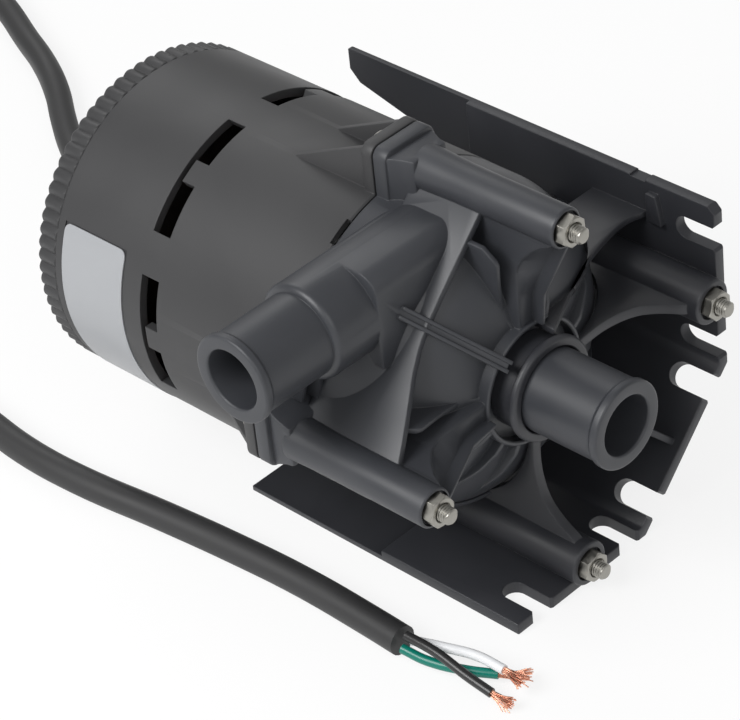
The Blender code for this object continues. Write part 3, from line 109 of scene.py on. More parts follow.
MOTOR_RADIUS = 0.0481
MOTOR_WALL = 0.0026
MOTOR_REAR_Y = 0.1500
WINDOW_Y = 0.1090
WINDOW_WIDTH = 0.0066
WINDOW_SPAN_DEGREES = 45.0
WINDOW_FIRST_DEGREES = 121.0
WINDOW_COUNT = 6
SNAP_TAB_WIDTH = 0.0070
SNAP_TAB_LENGTH = 0.0048
GUSSET_WALL = 0.0020
GUSSET_INSET = 0.0007
GUSSET_TIP_Y = 0.0910
CAP_WALL = 0.0030
CAP_SPIGOT_LENGTH = 0.0040
SCALLOP_COUNT = 74
SCALLOP_DEPTH = 0.0009
SHELL_FLANGE_RADIUS = 0.0460
SHELL_FLANGE_WALL = 0.0010
SHELL_RADIUS = 0.0345
PLATE_WALL = 0.0036
PLATE_SKIN = 0.0018
BRACKET_FRONT_Y = 0.00235
FLOOR_PLATE_THICK_Y = 0.0530
SIDE_PLATE_THICK_Y = 0.0920
FLOOR_PLATE_REAR_Y = 0.1040
TONGUE_REAR_Y = 0.1400
TONGUE_ROOT_Z = 0.0045
TONGUE_TIP_Z = 0.0160
SLOT_WIDTH = 0.0070
SLOT_END_Y = 0.0159
SLOT_CHAMFER = 0.0007
MIDDLE_SLOT_OFFSET = 0.0179
OUTER_SLOT_OFFSET = 0.0164
INNER_SLOT_OFFSET = 0.0194
COLLAR_RADIUS = 0.0152
COLLAR_SLEEVE_RADIUS = 0.0136
COLLAR_FRONT_Y = 0.0083
COLLAR_LENGTH = 0.0022
WEB_WALL = 0.0032
SIDE_WEB_WALL = 0.0020
BRACKET_BOSS_RADIUS = 0.0066
DRAIN_DEGREES = 118.0
DRAIN_SPAN_DEGREES = 9.5
LABEL_START_DEGREES = 154.0
LABEL_END_DEGREES = 232.0
LABEL_FRONT_Y = 0.1230
LABEL_REAR_Y = 0.1472
LABEL_RECESS = 0.0005
LABEL_WALL = 0.0004
LABEL_CORNER = 0.0022
GLAND_X = 0.0150
GLAND_Z = -0.0250
GLAND_FLANGE_RADIUS = 0.0075
GLAND_NECK_RADIUS = 0.0060
GLAND_LENGTH = 0.0280
GLAND_RIBS = 7
GLAND_RIB_DEPTH = 0.0008

# Cord dimensions in world metres
CORD_DIAMETER = 0.0088
COIL_CENTRE = Vector((-0.0050, 0.3200, 0.0))
COIL_OUTER_TURN = 0.0494
COIL_INNER_TURN = 0.0406
COIL_DEGREES = 810
WIRE_DIAMETER = 0.0028
STRAND_DIAMETER = 0.00032

# Segment counts and edge roundings
BODY_STEPS = 128
STUB_STEPS = 72
BOSS_STEPS = 48
EDGE = 0.0004

# Values worked out from the dimensions above
CORD_RADIUS = CORD_DIAMETER / 2
DISCHARGE_Z = BODY_RADIUS - NECK_RADIUS + CLEARANCE
CHAMBER_RADIUS = BODY_RADIUS - BODY_WALL
CHAMBER_FRONT_Y = GROOVE_FLOOR_Y + BODY_WALL
HOUSING_FRONT_Y = SEAM_Y + CLEARANCE
LUG_FRONT_Y = SEAM_Y - LUG_LENGTH
BRACKET_INNER = BRACKET_REACH - PLATE_WALL
BRACKET_LUG_REACH = BRACKET_INNER - CLEARANCE
HALF_FACET = BRACKET_REACH * tan(radians(22.5))
SHELL_FLANGE_Y = HOUSING_FRONT_Y + CLEARANCE
NUT_FACE_Y = BOSS_FRONT_Y + NUT_POCKET_DEPTH
EAR_REAR_Y = HOUSING_FRONT_Y + EAR_LENGTH
CAP_REAR_Y = CAP_END_Y - PUMP_ORIGIN.y
GLAND_END_Y = CAP_REAR_Y + CLEARANCE + GLAND_LENGTH
ROOF_Z = DISCHARGE_Z + NECK_RADIUS
HUB_RADIUS = RING_INNER_RADIUS + RING_WALL / 2
RIB_REAR_Y = CHAMBER_FRONT_Y - 0.0010
SLEEVE_START = COLLAR_SLEEVE_RADIUS - CLEARANCE
LUG_GAP_Y = LUG_FRONT_Y - CLEARANCE
SLEEVE_END_Y = GROOVE_FLOOR_Y - 2 * CLEARANCE
RECESS_RADIUS = SHELL_FLANGE_RADIUS + CLEARANCE
RECESS_Y = SHELL_FLANGE_Y + SHELL_FLANGE_WALL + CLEARANCE
CAP_FRONT_Y = MOTOR_REAR_Y + CLEARANCE
LABEL_RADIUS = MOTOR_RADIUS - LABEL_RECESS + CLEARANCE
BOLT_STATIONS = {"right": 0.0, "top": 90.0, "left": 180.0, "bottom": 270.0}
FREE_STATIONS = ("top", "left")
BRACKET_STATIONS = ("right", "bottom")
UPRIGHT = Matrix(((0, 0, 1, 0), (0, 1, 0, 0), (1, 0, 0, 0), (0, 0, 0, 1)))
FROM_SIDE = Matrix(((0, 0, 1, 0), (1, 0, 0, 0), (0, 1, 0, 0), (0, 0, 0, 1)))


# Mesh tools

def to_mesh(name, bm):
    bmesh.ops.remove_doubles(bm, verts=bm.verts, dist=1e-7)
    bmesh.ops.recalc_face_normals(bm, faces=bm.faces)
    mesh = bpy.data.meshes.new(name)
    bm.to_mesh(mesh)
    bm.free()
    return mesh


def add_piece(name, data):
    piece = bpy.data.objects.new(name, data)
    bpy.context.scene.collection.objects.link(piece)
    return piece


def about_axis(station_degrees):
    """Turn about the pump axis that takes +X to the station's own direction."""
    return Matrix.Rotation(-radians(station_degrees), 4, "Y")


def turned(profile, steps=BODY_STEPS, closed=False):
    """Spin a profile of (radius, y) points about the pump axis."""
    bm = bmesh.new()
    verts = [bm.verts.new((radius, y, 0.0)) for radius, y in profile]
    edges = [bm.edges.new(pair) for pair in zip(verts, verts[1:])]
    if closed:
        edges.append(bm.edges.new((verts[-1], verts[0])))
    bmesh.ops.spin(bm, geom=verts + edges, cent=(0, 0, 0), axis=(0, 1, 0), angle=2 * pi, steps=steps)
    bmesh.ops.remove_doubles(bm, verts=bm.verts, dist=1e-7)
    bmesh.ops.recalc_face_normals(bm, faces=bm.faces)
    return bm


def round_edges(bm, width, least_degrees=35.0):
    """Round every edge that turns more than the given angle."""
    least = radians(least_degrees)
    sharp = [edge for edge in bm.edges if edge.is_manifold and edge.calc_face_angle(0) > least]
    bmesh.ops.bevel(bm, geom=sharp, offset=width, offset_type="OFFSET", segments=2, profile=0.5,
                    affect="EDGES", clamp_overlap=True)


def prism(outline, start, end, place=None, edge=0.0):
    """Extrude an outline of (x, y) points along Z from start to end, round its edges and place it."""
    bm = bmesh.new()
    face = bm.faces.new([bm.verts.new((x, y, start)) for x, y in outline])
    grown = bmesh.ops.extrude_face_region(bm, geom=[face])
    moved = [item for item in grown["geom"] if isinstance(item, bmesh.types.BMVert)]
    bmesh.ops.translate(bm, verts=moved, vec=(0, 0, end - start))
    bmesh.ops.recalc_face_normals(bm, faces=bm.faces)
    if edge:
        round_edges(bm, edge)
    if place:
        bmesh.ops.transform(bm, matrix=place, verts=bm.verts)
    bmesh.ops.recalc_face_normals(bm, faces=bm.faces)
    return bm


def on_circle(radius, turn, y):
    return radius * cos(turn), y, radius * sin(turn)


def skin(bm, rings, ends=True):
    """Faces between equally long rings of verts, and over the first and the last of them."""
    for low, high in zip(rings, rings[1:]):
        for number in range(len(low)):
            after = (number + 1) % len(low)
            bm.faces.new((low[number], low[after], high[after], high[number]))
    if ends:
        bm.faces.new(rings[0])
        bm.faces.new(rings[-1])


def joined(*pieces):
    return [("UNION", piece) for piece in pieces]


def cut(*pieces):
    return [("DIFFERENCE", piece) for piece in pieces]


def shaped(name, base, steps):
    """Mesh of a base piece with other pieces joined to it or cut out of it, one after another."""
    body = add_piece(name, to_mesh(name, base))
    tools = []
    for operation, bm in steps:
        tool = add_piece("tool", to_mesh("tool", bm))
        boolean = body.modifiers.new("step", "BOOLEAN")
        boolean.operation = operation
        boolean.solver = "MANIFOLD"
        boolean.object = tool
        tools.append(tool)
    view_layer = bpy.context.view_layer
    view_layer.update()
    solid = bpy.data.meshes.new_from_object(body.evaluated_get(bpy.context.evaluated_depsgraph_get()))
    for thing in tools + [body]:
        old = thing.data
        bpy.data.objects.remove(thing)
        bpy.data.meshes.remove(old)
    return solid


def smooth(mesh, sharp_degrees=31.0):
    mesh.shade_smooth()
    mesh.set_sharp_from_angle(angle=radians(sharp_degrees))


def place_on_pump(name, mesh, material, *nodes, body="pump"):
    """Make a piece that is built about the pump axis and stands for CAD nodes."""
    smooth(mesh)
    mesh.materials.clear()
    mesh.materials.append(material)
    piece = add_piece(name, mesh)
    piece.location = PUMP_ORIGIN
    if nodes:
        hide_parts(*nodes)
    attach(piece, body)
    return piece


def cylinder(radius, start_y, end_y, x, z, steps=BOSS_STEPS):
    """Closed cylinder along Y at the given place."""
    bm = turned([(0.0, start_y), (radius, start_y), (radius, end_y), (0.0, end_y)], steps)
    bmesh.ops.translate(bm, verts=bm.verts, vec=(x, 0, z))
    return bm


def arc(centre_x, centre_y, radius_x, radius_y, start_degrees, end_degrees, count):
    """Points of an elliptical arc with both its ends."""
    span = end_degrees - start_degrees
    turns = [radians(start_degrees + span * step / count) for step in range(count + 1)]
    return [(centre_x + radius_x * cos(turn), centre_y + radius_y * sin(turn)) for turn in turns]


def through(points, count):
    """Smooth curve through 2-D points, with count steps from each point to the next."""
    spots = [Vector(point) for point in points]
    spots = [2 * spots[0] - spots[1]] + spots + [2 * spots[-1] - spots[-2]]
    fine = []
    for before, start, end, after in zip(spots, spots[1:], spots[2:], spots[3:]):
        for step in range(count):
            t = step / count
            fine.append(0.5 * (2 * start + (end - before) * t
                               + (2 * before - 5 * start + 4 * end - after) * t ** 2
                               + (3 * start - before - 3 * end + after) * t ** 3))
    fine.append(spots[-2])
    return [tuple(spot) for spot in fine]


def lengthwise(outline, start_y, end_y, edge=0.0):
    """Extrude an (x, z) outline along Y."""
    return prism(outline, -end_y, -start_y, Matrix.Rotation(pi / 2, 4, "X"), edge)


def radial_plate(outline, low, high, station_degrees, edge=0.0):
    """Plate of (radius, y) outline that stands along a radius, between two offsets from it."""
    return prism(outline, low, high, about_axis(station_degrees), edge)


def centred_plate(outline, wall, station_degrees, edge=0.0):
    """Plate of (radius, y) outline that stands along a radius, half its wall on each side."""
    return radial_plate(outline, -wall / 2, wall / 2, station_degrees, edge)


def station_place(name):
    turn = radians(BOLT_STATIONS[name])
    return BOLT_CIRCLE_RADIUS * cos(turn), BOLT_CIRCLE_RADIUS * sin(turn)


def at_station(profile, name):
    """Turned piece of (radius, y) points about a bolt."""
    bm = turned(profile, BOSS_STEPS)
    x, z = station_place(name)
    bmesh.ops.translate(bm, verts=bm.verts, vec=(x, 0, z))
    return bm


# Volute housing

# Front edges of a boss support as (radius, y) points: its low rounded side and its high flange
SUPPORT_LOW_SIDE = [(0.0170, 0.0156), (0.0365, 0.0153), (0.0385, 0.0146), (0.0408, 0.0133), (0.0450, 0.0095),
                    (0.0480, 0.0056), (0.0495, 0.0026), (0.0530, 0.0020)]
SUPPORT_FLANGE = [(0.0170, 0.0126), (0.0280, 0.0113), (0.0470, 0.0019), (0.0530, 0.0014)]


def dome_depth(inset=0.0):
    """Depth of the dome's ellipse, which meets the groove's floor beside the ring."""
    reach = (GROOVE_RADIUS - DOME_CENTRE_RADIUS) / (BODY_RADIUS - DOME_CENTRE_RADIUS)
    return (DOME_BACK_Y - GROOVE_FLOOR_Y) / sqrt(1 - reach * reach) - inset


def dome_y(radius, inset=0.0):
    """Y of the dome's front surface at a radius, or of the surface that far inside it."""
    reach = (radius - DOME_CENTRE_RADIUS) / (BODY_RADIUS - inset - DOME_CENTRE_RADIUS)
    reach = min(max(reach, 0.0), 1.0)
    return max(DOME_BACK_Y - dome_depth(inset) * sqrt(1 - reach * reach), GROOVE_FLOOR_Y + inset)


def stub_profile(mouth, end, direction):
    """Outer side of a hose stub from its mouth to where it meets the housing, as (radius, along) points."""
    lip = 0.0008
    front = arc(STUB_LIP_RADIUS - lip, mouth + direction * lip, lip, direction * lip, -90, 0, 5)
    lip_end = mouth + direction * STUB_LIP_LENGTH
    return [(0.0, mouth)] + front + [
        (STUB_LIP_RADIUS, lip_end - direction * 0.0003),
        (STUB_LIP_RADIUS - 0.0002, lip_end),
        (STUB_RADIUS, lip_end + direction * 0.0007),
        (STUB_RADIUS, end),
    ]


def volute_body():
    ring_outer = RING_INNER_RADIUS + RING_WALL
    reach = (GROOVE_RADIUS - DOME_CENTRE_RADIUS) / (BODY_RADIUS - DOME_CENTRE_RADIUS)
    start = degrees(atan2(-sqrt(1 - reach * reach), reach))
    dome = arc(DOME_CENTRE_RADIUS, DOME_BACK_Y, BODY_RADIUS - DOME_CENTRE_RADIUS, dome_depth(), start, 0, 30)
    profile = stub_profile(SUCTION_MOUTH_Y, GROOVE_FLOOR_Y, 1)
    profile += [(RING_INNER_RADIUS, GROOVE_FLOOR_Y), (RING_INNER_RADIUS, RING_TOP_Y + EDGE)]
    profile += [(RING_INNER_RADIUS + EDGE, RING_TOP_Y), (ring_outer - EDGE, RING_TOP_Y)]
    profile += [(ring_outer, RING_TOP_Y + EDGE), (ring_outer, GROOVE_FLOOR_Y - EDGE)]
    profile += dome + [(BODY_RADIUS, SEAM_Y - EDGE), (BODY_RADIUS - EDGE, SEAM_Y), (0.0, SEAM_Y)]
    return turned(profile)


def volute_chamber():
    """Room for the impeller and the water, open to the seam."""
    inner_rim = 0.0401
    land_y = SEAM_Y - 2 * BODY_WALL
    front_reach = (DOME_BACK_Y - CHAMBER_FRONT_Y) / dome_depth(BODY_WALL)
    start = -degrees(atan2(front_reach, sqrt(1 - front_reach * front_reach)))
    radius_x = CHAMBER_RADIUS - DOME_CENTRE_RADIUS
    wall = arc(DOME_CENTRE_RADIUS, DOME_BACK_Y, radius_x, dome_depth(BODY_WALL), start, 0, 12)
    profile = [(0.0, CHAMBER_FRONT_Y)] + wall
    profile += [(CHAMBER_RADIUS, land_y), (inner_rim, land_y), (inner_rim, SEAM_Y + BODY_WALL)]
    profile += [(0.0, SEAM_Y + BODY_WALL)]
    return turned(profile, 64)


def along_x(profile):
    """Turned shape about the discharge stub's axis, from a profile of (radius, x) points."""
    bm = turned(profile, STUB_STEPS)
    place = Matrix.Translation((0, DISCHARGE_Y, DISCHARGE_Z)) @ Matrix.Rotation(-pi / 2, 4, "Z")
    bmesh.ops.transform(bm, matrix=place, verts=bm.verts)
    return bm


def discharge_stub():
    shoulder = NECK_RADIUS - STUB_RADIUS
    profile = stub_profile(DISCHARGE_MOUTH_X, NECK_START_X - shoulder, 1)
    profile += arc(STUB_RADIUS, NECK_START_X, shoulder, shoulder, -80, -10, 5)
    return along_x(profile + [(NECK_RADIUS, NECK_START_X), (NECK_RADIUS, -0.0010), (0.0, -0.0010)])


def bore_cutter(mouth, end):
    """Profile of a bore with a rounded mouth, as (radius, along) points."""
    lead = 0.0007
    front = arc(BORE_RADIUS + lead, mouth + lead, lead, lead, 270, 180, 5)
    before = mouth - BODY_WALL
    return [(0.0, before), (BORE_RADIUS + lead, before)] + front + [(BORE_RADIUS, end), (0.0, end)]


def hood():
    """Square shoulder round the discharge neck, with a well rounded front edge."""
    outline = [(DISCHARGE_Y, 0.0200), (HOOD_FRONT_Y, 0.0200)]
    outline += arc(HOOD_FRONT_Y + HOOD_EDGE, ROOF_Z - HOOD_EDGE, HOOD_EDGE, HOOD_EDGE, 180, 90, 12)
    outline += [(DISCHARGE_Y, ROOF_Z)]
    return prism(outline, HOOD_LEFT_X, HOOD_RIGHT_X, FROM_SIDE, 0.0006)


def lug_block(reach, front_y, rear_y, station_degrees, edge=EDGE):
    """Block with rounded outer corners that carries a bolt."""
    inner = sqrt(BODY_RADIUS ** 2 - LUG_HALF_WIDTH ** 2) - BODY_WALL
    side = LUG_HALF_WIDTH - LUG_CORNER
    outline = [(inner, -LUG_HALF_WIDTH)]
    outline += arc(reach - LUG_CORNER, -side, LUG_CORNER, LUG_CORNER, -90, 0, 8)
    outline += arc(reach - LUG_CORNER, side, LUG_CORNER, LUG_CORNER, 0, 90, 8)
    outline += [(inner, LUG_HALF_WIDTH)]
    lay_flat = Matrix.Rotation(pi / 2, 4, "X")
    return prism(outline, -rear_y, -front_y, about_axis(station_degrees) @ lay_flat, edge)


def boss_front(radius):
    """Rounded front end of a boss, as (radius, y) points."""
    tip = BOSS_TIP_ROUND
    return [(0.0, BOSS_FRONT_Y)] + arc(radius - tip, BOSS_FRONT_Y + tip, tip, tip, -90, 0, 5)


def long_boss(name):
    """Boss of a free station, which flares where it meets its lug."""
    rear = LUG_FRONT_Y + 0.0020
    side = through([(BOSS_RADIUS, 0.0280), (BOSS_RADIUS + 0.0001, 0.0360), (BOSS_FLARE_RADIUS, LUG_FRONT_Y),
                    (BOSS_FLARE_RADIUS, rear)], 5)
    return at_station(boss_front(BOSS_RADIUS) + side + [(0.0, rear)], name)


def support_section(radius):
    """Section of a boss support at a radius: a rounded low side, a floor and a thin high flange."""
    low_side = at_radius(SUPPORT_LOW_SIDE, radius)
    flange = at_radius(SUPPORT_FLANGE, radius)
    floor = min(low_side, flange + 0.0034)
    wide = SUPPORT_HALF_WIDTH
    rear = DOME_BACK_Y + 0.0006
    return [
        (wide, rear),
        (wide, low_side + 0.0008),
        (wide - 0.0003, low_side + 0.0002),
        (wide - 0.0009, low_side),
        (0.2 * wide, 0.5 * low_side + 0.5 * floor + 0.0002),
        (0.0012 - wide, floor + 0.0003),
        (0.0011 - wide, flange + 0.0002),
        (0.0009 - wide, flange),
        (0.0002 - wide, flange),
        (-wide, flange + 0.0002),
        (-wide, rear),
    ]


def at_radius(edge, radius):
    """Y of an edge of (radius, y) points at a radius."""
    for (low, low_y), (high, high_y) in zip(edge, edge[1:]):
        if radius <= high:
            return low_y + (high_y - low_y) * (radius - low) / (high - low)
    return edge[-1][1]


def boss_support(name):
    """Loft of support sections from the ring to a long boss, with its flange away from the neck."""
    mirror = -1 if name == "top" else 1
    bm = bmesh.new()
    rings = []
    for step in range(SUPPORT_STEPS + 1):
        radius = HUB_RADIUS + (SUPPORT_END_RADIUS - HUB_RADIUS) * step / SUPPORT_STEPS
        rings.append([bm.verts.new((radius, y, -mirror * across)) for across, y in support_section(radius)])
    skin(bm, rings)
    bmesh.ops.transform(bm, matrix=about_axis(BOLT_STATIONS[name]), verts=bm.verts)
    bmesh.ops.recalc_face_normals(bm, faces=bm.faces)
    return bm


def flank_rib(station_degrees):
    """Thin rib beside a boss support, from the ring to the chord rib."""
    outline = [(HUB_RADIUS, 0.0172), (0.0243, 0.0197), (0.0334, 0.0184), (0.0415, 0.0166), (0.0430, 0.0170)]
    outline += [(0.0466, 0.0205), (0.0466, 0.0450), (HUB_RADIUS, RIB_REAR_Y)]
    return centred_plate(outline, FLANK_RIB_WALL, station_degrees, 0.0002)


def tapered_lug(name):
    """Flange that carries a long boss, and narrows to its width in front."""
    flange_y = SEAM_Y - LUG_FLANGE_LENGTH
    station = BOLT_STATIONS[name]
    side = [(LUG_HALF_WIDTH - CLEARANCE, flange_y + CLEARANCE), (0.0080, flange_y - 0.0016),
            (0.0068, flange_y - 0.0044), (BOSS_FLARE_RADIUS, LUG_FRONT_Y)]
    outline = side + [(-across, y) for across, y in side[::-1]]
    top = BOLT_CIRCLE_RADIUS + BOSS_RADIUS - LUG_CORNER / 4
    taper = prism(outline, CHAMBER_RADIUS + 0.0015, top, about_axis(station) @ UPRIGHT, 0.0008)
    return [lug_block(LUG_REACH, flange_y, SEAM_Y, station, 0.0007), taper]


def dome_rib(station_degrees, fade):
    """Low radial rib that fades into the dome."""
    crest = [(0.0220, 0.0158), (0.0300, dome_y(0.0300) - 0.0018), (fade, dome_y(fade) - 0.0002)]
    outline = [(HUB_RADIUS, RING_TOP_Y + 0.0006)] + through(crest, 4)
    outline += [(fade, dome_y(fade) + 0.0010), (HUB_RADIUS, RIB_REAR_Y)]
    return centred_plate(outline, RIB_WALL, station_degrees, 0.0003)


def chord_rib():
    """Rib between the two long bosses, which rises towards the left one."""
    half = BOLT_CIRCLE_RADIUS * sin(pi / 4) - BOSS_RADIUS / 2
    offset = BOLT_CIRCLE_RADIUS * cos(pi / 4)
    front = through([(-half, 0.0253), (-0.0028, 0.0253), (0.0090, 0.0234), (0.0170, 0.0206),
                     (0.0270, 0.0170), (half, 0.0140)], 4)
    outline = front + [(half, LUG_FRONT_Y + 0.0030), (-half, LUG_FRONT_Y + 0.0030)]
    place = about_axis(135.0) @ Matrix.Translation((offset, 0, 0)) @ UPRIGHT
    return prism(outline, -CHORD_WALL / 2, CHORD_WALL / 2, place, EDGE)


def radial_beam():
    """Beam of two ridges with a groove between them, from the ring to the hood."""
    wide = BEAM_HALF_WIDTH
    inner = wide - BEAM_RIDGE
    pieces = []
    for low, high, drop, edge in ((-wide, -inner, 0.0, 0.0002), (inner, wide, 0.0, 0.0002),
                                  (-inner, inner, 0.0009, 0.0)):
        outline = [(HUB_RADIUS, 0.0122 + drop), (HUB_RADIUS + 0.0012, 0.0104 + drop), (0.0385, 0.0243 + drop)]
        outline += [(0.0468, 0.0292 + drop), (0.0468, 0.0400), (HUB_RADIUS, RIB_REAR_Y)]
        pieces.append(radial_plate(outline, low, high, BEAM_DEGREES, edge))
    return pieces


def stub_shelf():
    """Flange wall below the discharge neck, down to the left lug."""
    outline = [(-BOLT_CIRCLE_RADIUS, 0.0), (-CHAMBER_RADIUS, 0.0), (-0.6 * BODY_RADIUS, DISCHARGE_Z)]
    outline.append((NECK_START_X + 2 * BODY_WALL, DISCHARGE_Z))
    return lengthwise(outline, SEAM_Y - 0.0045, SEAM_Y - 0.0008, EDGE)


def neck_plates():
    """Small upright plates between the neck and the shelf below it."""
    rear = SEAM_Y - 0.0020
    low, high = 0.0085, 0.0240
    pieces = []
    for number, x in enumerate((-0.0510, -0.0472, -0.0434, -0.0396)):
        front = 0.0450 - 0.0020 * number
        outline = [(front, high), (front + 0.0040, low), (rear, low), (rear, high)]
        pieces.append(prism(outline, x - 0.0007, x + 0.0007, FROM_SIDE, 0.0003))
    return pieces


def dome_arcs():
    """Two thin raised rings low on the dome's left side."""
    pieces = []
    for radius in (0.0415, 0.0445):
        top = dome_y(radius) - 0.0012
        inner, outer = radius - 0.0005, radius + 0.0005
        outline = arc(0, 0, outer, outer, 196, 262, 30) + arc(0, 0, inner, inner, 262, 196, 30)
        pieces.append(lengthwise(outline, top, top + 0.0060))
    return pieces


def web_notches():
    """Gaps in the ring where the bracket's webs pass."""
    depth = GROOVE_FLOOR_Y - CLEARANCE / 3
    room = 2 * CLEARANCE
    outer = RING_INNER_RADIUS + 2 * RING_WALL
    inner = COLLAR_SLEEVE_RADIUS + CLEARANCE
    outline = [(inner, 0.0), (outer, 0.0), (outer, depth), (inner, depth)]
    gap = WEB_WALL / 2 + room
    pieces = [radial_plate(outline, -gap, gap, station) for station in (0.0, 270.0, 315.0)]
    low, high = side_web_heights()
    outline = [(0.0040, 0.0), (outer, 0.0), (outer, depth), (0.0040, depth)]
    return pieces + [prism(outline, low - room, high + room)]


def bolt_holes(front_y, rear_y, names):
    radius = BOLT_RADIUS + CLEARANCE
    return [cylinder(radius, front_y, rear_y, *station_place(name)) for name in names]


def pocketed_holes(rear_y, names):
    """Bolt holes that widen to a round nut pocket at the front."""
    hole = BOLT_RADIUS + CLEARANCE
    pocket = NUT_ACROSS_FLATS / 2 / cos(pi / 6) + CLEARANCE
    front = BOSS_FRONT_Y - NUT_HEIGHT
    profile = [(0.0, front), (pocket, front), (pocket, NUT_FACE_Y), (hole, NUT_FACE_Y), (hole, rear_y)]
    return [at_station(profile + [(0.0, rear_y)], name) for name in names]


def volute_mesh():
    steps = joined(discharge_stub(), hood())
    for name in BRACKET_STATIONS:
        steps += joined(lug_block(BRACKET_LUG_REACH, LUG_FRONT_Y, SEAM_Y, BOLT_STATIONS[name]))
    for name in FREE_STATIONS:
        steps += joined(*tapered_lug(name), long_boss(name), boss_support(name))
    steps += joined(flank_rib(BOLT_STATIONS["top"] + FLANK_RIB_DEGREES))
    steps += joined(flank_rib(BOLT_STATIONS["left"] - FLANK_RIB_DEGREES))
    steps += joined(chord_rib(), stub_shelf(), *radial_beam(), *neck_plates(), *dome_arcs())
    fades = {202.5: 0.0430, 225.0: 0.0430, 247.5: 0.0430, 292.5: 0.0400, 337.5: 0.0400, 22.5: 0.0330,
             67.5: 0.0380}
    steps += joined(*(dome_rib(angle, fade) for angle, fade in fades.items()))
    bore = turned(bore_cutter(SUCTION_MOUTH_Y, CHAMBER_FRONT_Y + BODY_WALL), STUB_STEPS)
    steps += cut(volute_chamber(), bore, along_x(bore_cutter(DISCHARGE_MOUTH_X, -BODY_WALL)), *web_notches())
    steps += cut(*pocketed_holes(SEAM_Y + BODY_WALL, FREE_STATIONS))
    steps += cut(*bolt_holes(LUG_FRONT_Y - BODY_WALL, SEAM_Y + BODY_WALL, BRACKET_STATIONS))
    return shaped("pump_volute", volute_body(), steps)


# Mounting bracket

def facet_strip(outer, inner):
    """Outline of three sides of an octagon between two reaches, as (x, z) points."""
    outer_half = outer * tan(radians(22.5))
    inner_half = inner * tan(radians(22.5))
    outline = [(outer, HALF_FACET), (outer, -outer_half), (outer_half, -outer), (-HALF_FACET, -outer)]
    outline += [(-HALF_FACET, -inner), (inner_half, -inner), (inner, -inner_half), (inner, HALF_FACET)]
    return outline


def rear_cutter():
    """Everything behind the plates and below the side plate's tongue."""
    beyond = TONGUE_REAR_Y + PLATE_WALL
    below = -BRACKET_REACH - PLATE_WALL
    tip = TONGUE_REAR_Y - PLATE_WALL
    outline = [(FLOOR_PLATE_REAR_Y, below), (beyond, below), (beyond, TONGUE_TIP_Z + PLATE_WALL)]
    outline += [(TONGUE_REAR_Y, TONGUE_TIP_Z + PLATE_WALL), (tip, TONGUE_TIP_Z)]
    outline += [(SIDE_PLATE_THICK_Y, TONGUE_ROOT_Z), (SIDE_PLATE_THICK_Y, -HALF_FACET)]
    outline += [(FLOOR_PLATE_REAR_Y, -BRACKET_INNER)]
    return prism(outline, -BRACKET_REACH, BRACKET_REACH + PLATE_WALL, FROM_SIDE)


def floor_thinning():
    """Room above the thin rear stretch of the lower and the slanting plate."""
    skin = BRACKET_REACH - PLATE_SKIN
    side = BRACKET_INNER - PLATE_SKIN
    outline = [(side, -HALF_FACET / 2), (side, side - sqrt(2) * skin), (skin * tan(radians(22.5)), -skin)]
    outline += [(-BRACKET_REACH, -skin), (-BRACKET_REACH, -HALF_FACET / 2)]
    return lengthwise(outline, FLOOR_PLATE_THICK_Y, TONGUE_REAR_Y)


def tongue_thinning():
    """Room beside the thin tongue of the side plate."""
    skin = BRACKET_REACH - PLATE_SKIN
    outline = [(HALF_FACET, HALF_FACET + PLATE_WALL), (skin, HALF_FACET + PLATE_WALL)]
    outline += [(skin, -HALF_FACET / 2), (HALF_FACET, -HALF_FACET / 2)]
    return lengthwise(outline, SIDE_PLATE_THICK_Y, TONGUE_REAR_Y + PLATE_WALL)


def slot_cutters():
    """Round-ended slots with chamfered mouths, two in each of the three plates."""
    radius = SLOT_WIDTH / 2
    wide = radius + SLOT_CHAMFER
    side = [(radius, BRACKET_FRONT_Y + SLOT_CHAMFER), (wide, BRACKET_FRONT_Y)]
    side.append((wide, BRACKET_FRONT_Y - radius))
    pieces = []
    facets = {
        0.0: (OUTER_SLOT_OFFSET, -INNER_SLOT_OFFSET),
        315.0: (MIDDLE_SLOT_OFFSET, -MIDDLE_SLOT_OFFSET),
        270.0: (INNER_SLOT_OFFSET, -OUTER_SLOT_OFFSET),
    }
    for station, offsets in facets.items():
        for offset in offsets:
            outline = [(offset - across, y) for across, y in side]
            outline += [(offset + across, y) for across, y in side[::-1]]
            outline += arc(offset, SLOT_END_Y - radius, radius, radius, 0, 180, 24)
            place = about_axis(station) @ UPRIGHT
            pieces.append(prism(outline, BRACKET_INNER - radius, BRACKET_REACH + radius, place))
    return pieces


def behind_web(radius):
    """Rear limit of a web, just in front of the dome or of the lug."""
    return LUG_GAP_Y if radius >= BODY_RADIUS else dome_y(radius) - 3 * CLEARANCE


def bracket_web(station_degrees, front, reach, wall):
    """Radial web from the collar with a concave front edge and a back that follows the dome."""
    radii = [BODY_RADIUS - (BODY_RADIUS - RING_INNER_RADIUS) * step / 16 for step in range(17)]
    back = [(radius, behind_web(radius - CLEARANCE)) for radius in radii]
    outline = front + [(reach, LUG_GAP_Y), (BODY_RADIUS + 4 * CLEARANCE, LUG_GAP_Y)]
    return centred_plate(outline + back + [(SLEEVE_START, SLEEVE_END_Y)], wall, station_degrees, 0.0003)


def boss_web_front():
    """Concave front edge from the collar up to a bracket boss."""
    return through([(SLEEVE_START, 0.0150), (0.0285, 0.0160), (0.0385, 0.0138), (0.0440, 0.0092),
                    (0.0480, 0.0034), (0.0510, 0.0022)], 5)


def middle_web_front():
    reach = BRACKET_INNER + PLATE_WALL / 2
    start = (SLEEVE_START, SLOT_END_Y - CLEARANCE)
    return [start, (reach / 2, 0.7 * SLOT_END_Y), (reach, 2 * BRACKET_FRONT_Y)]


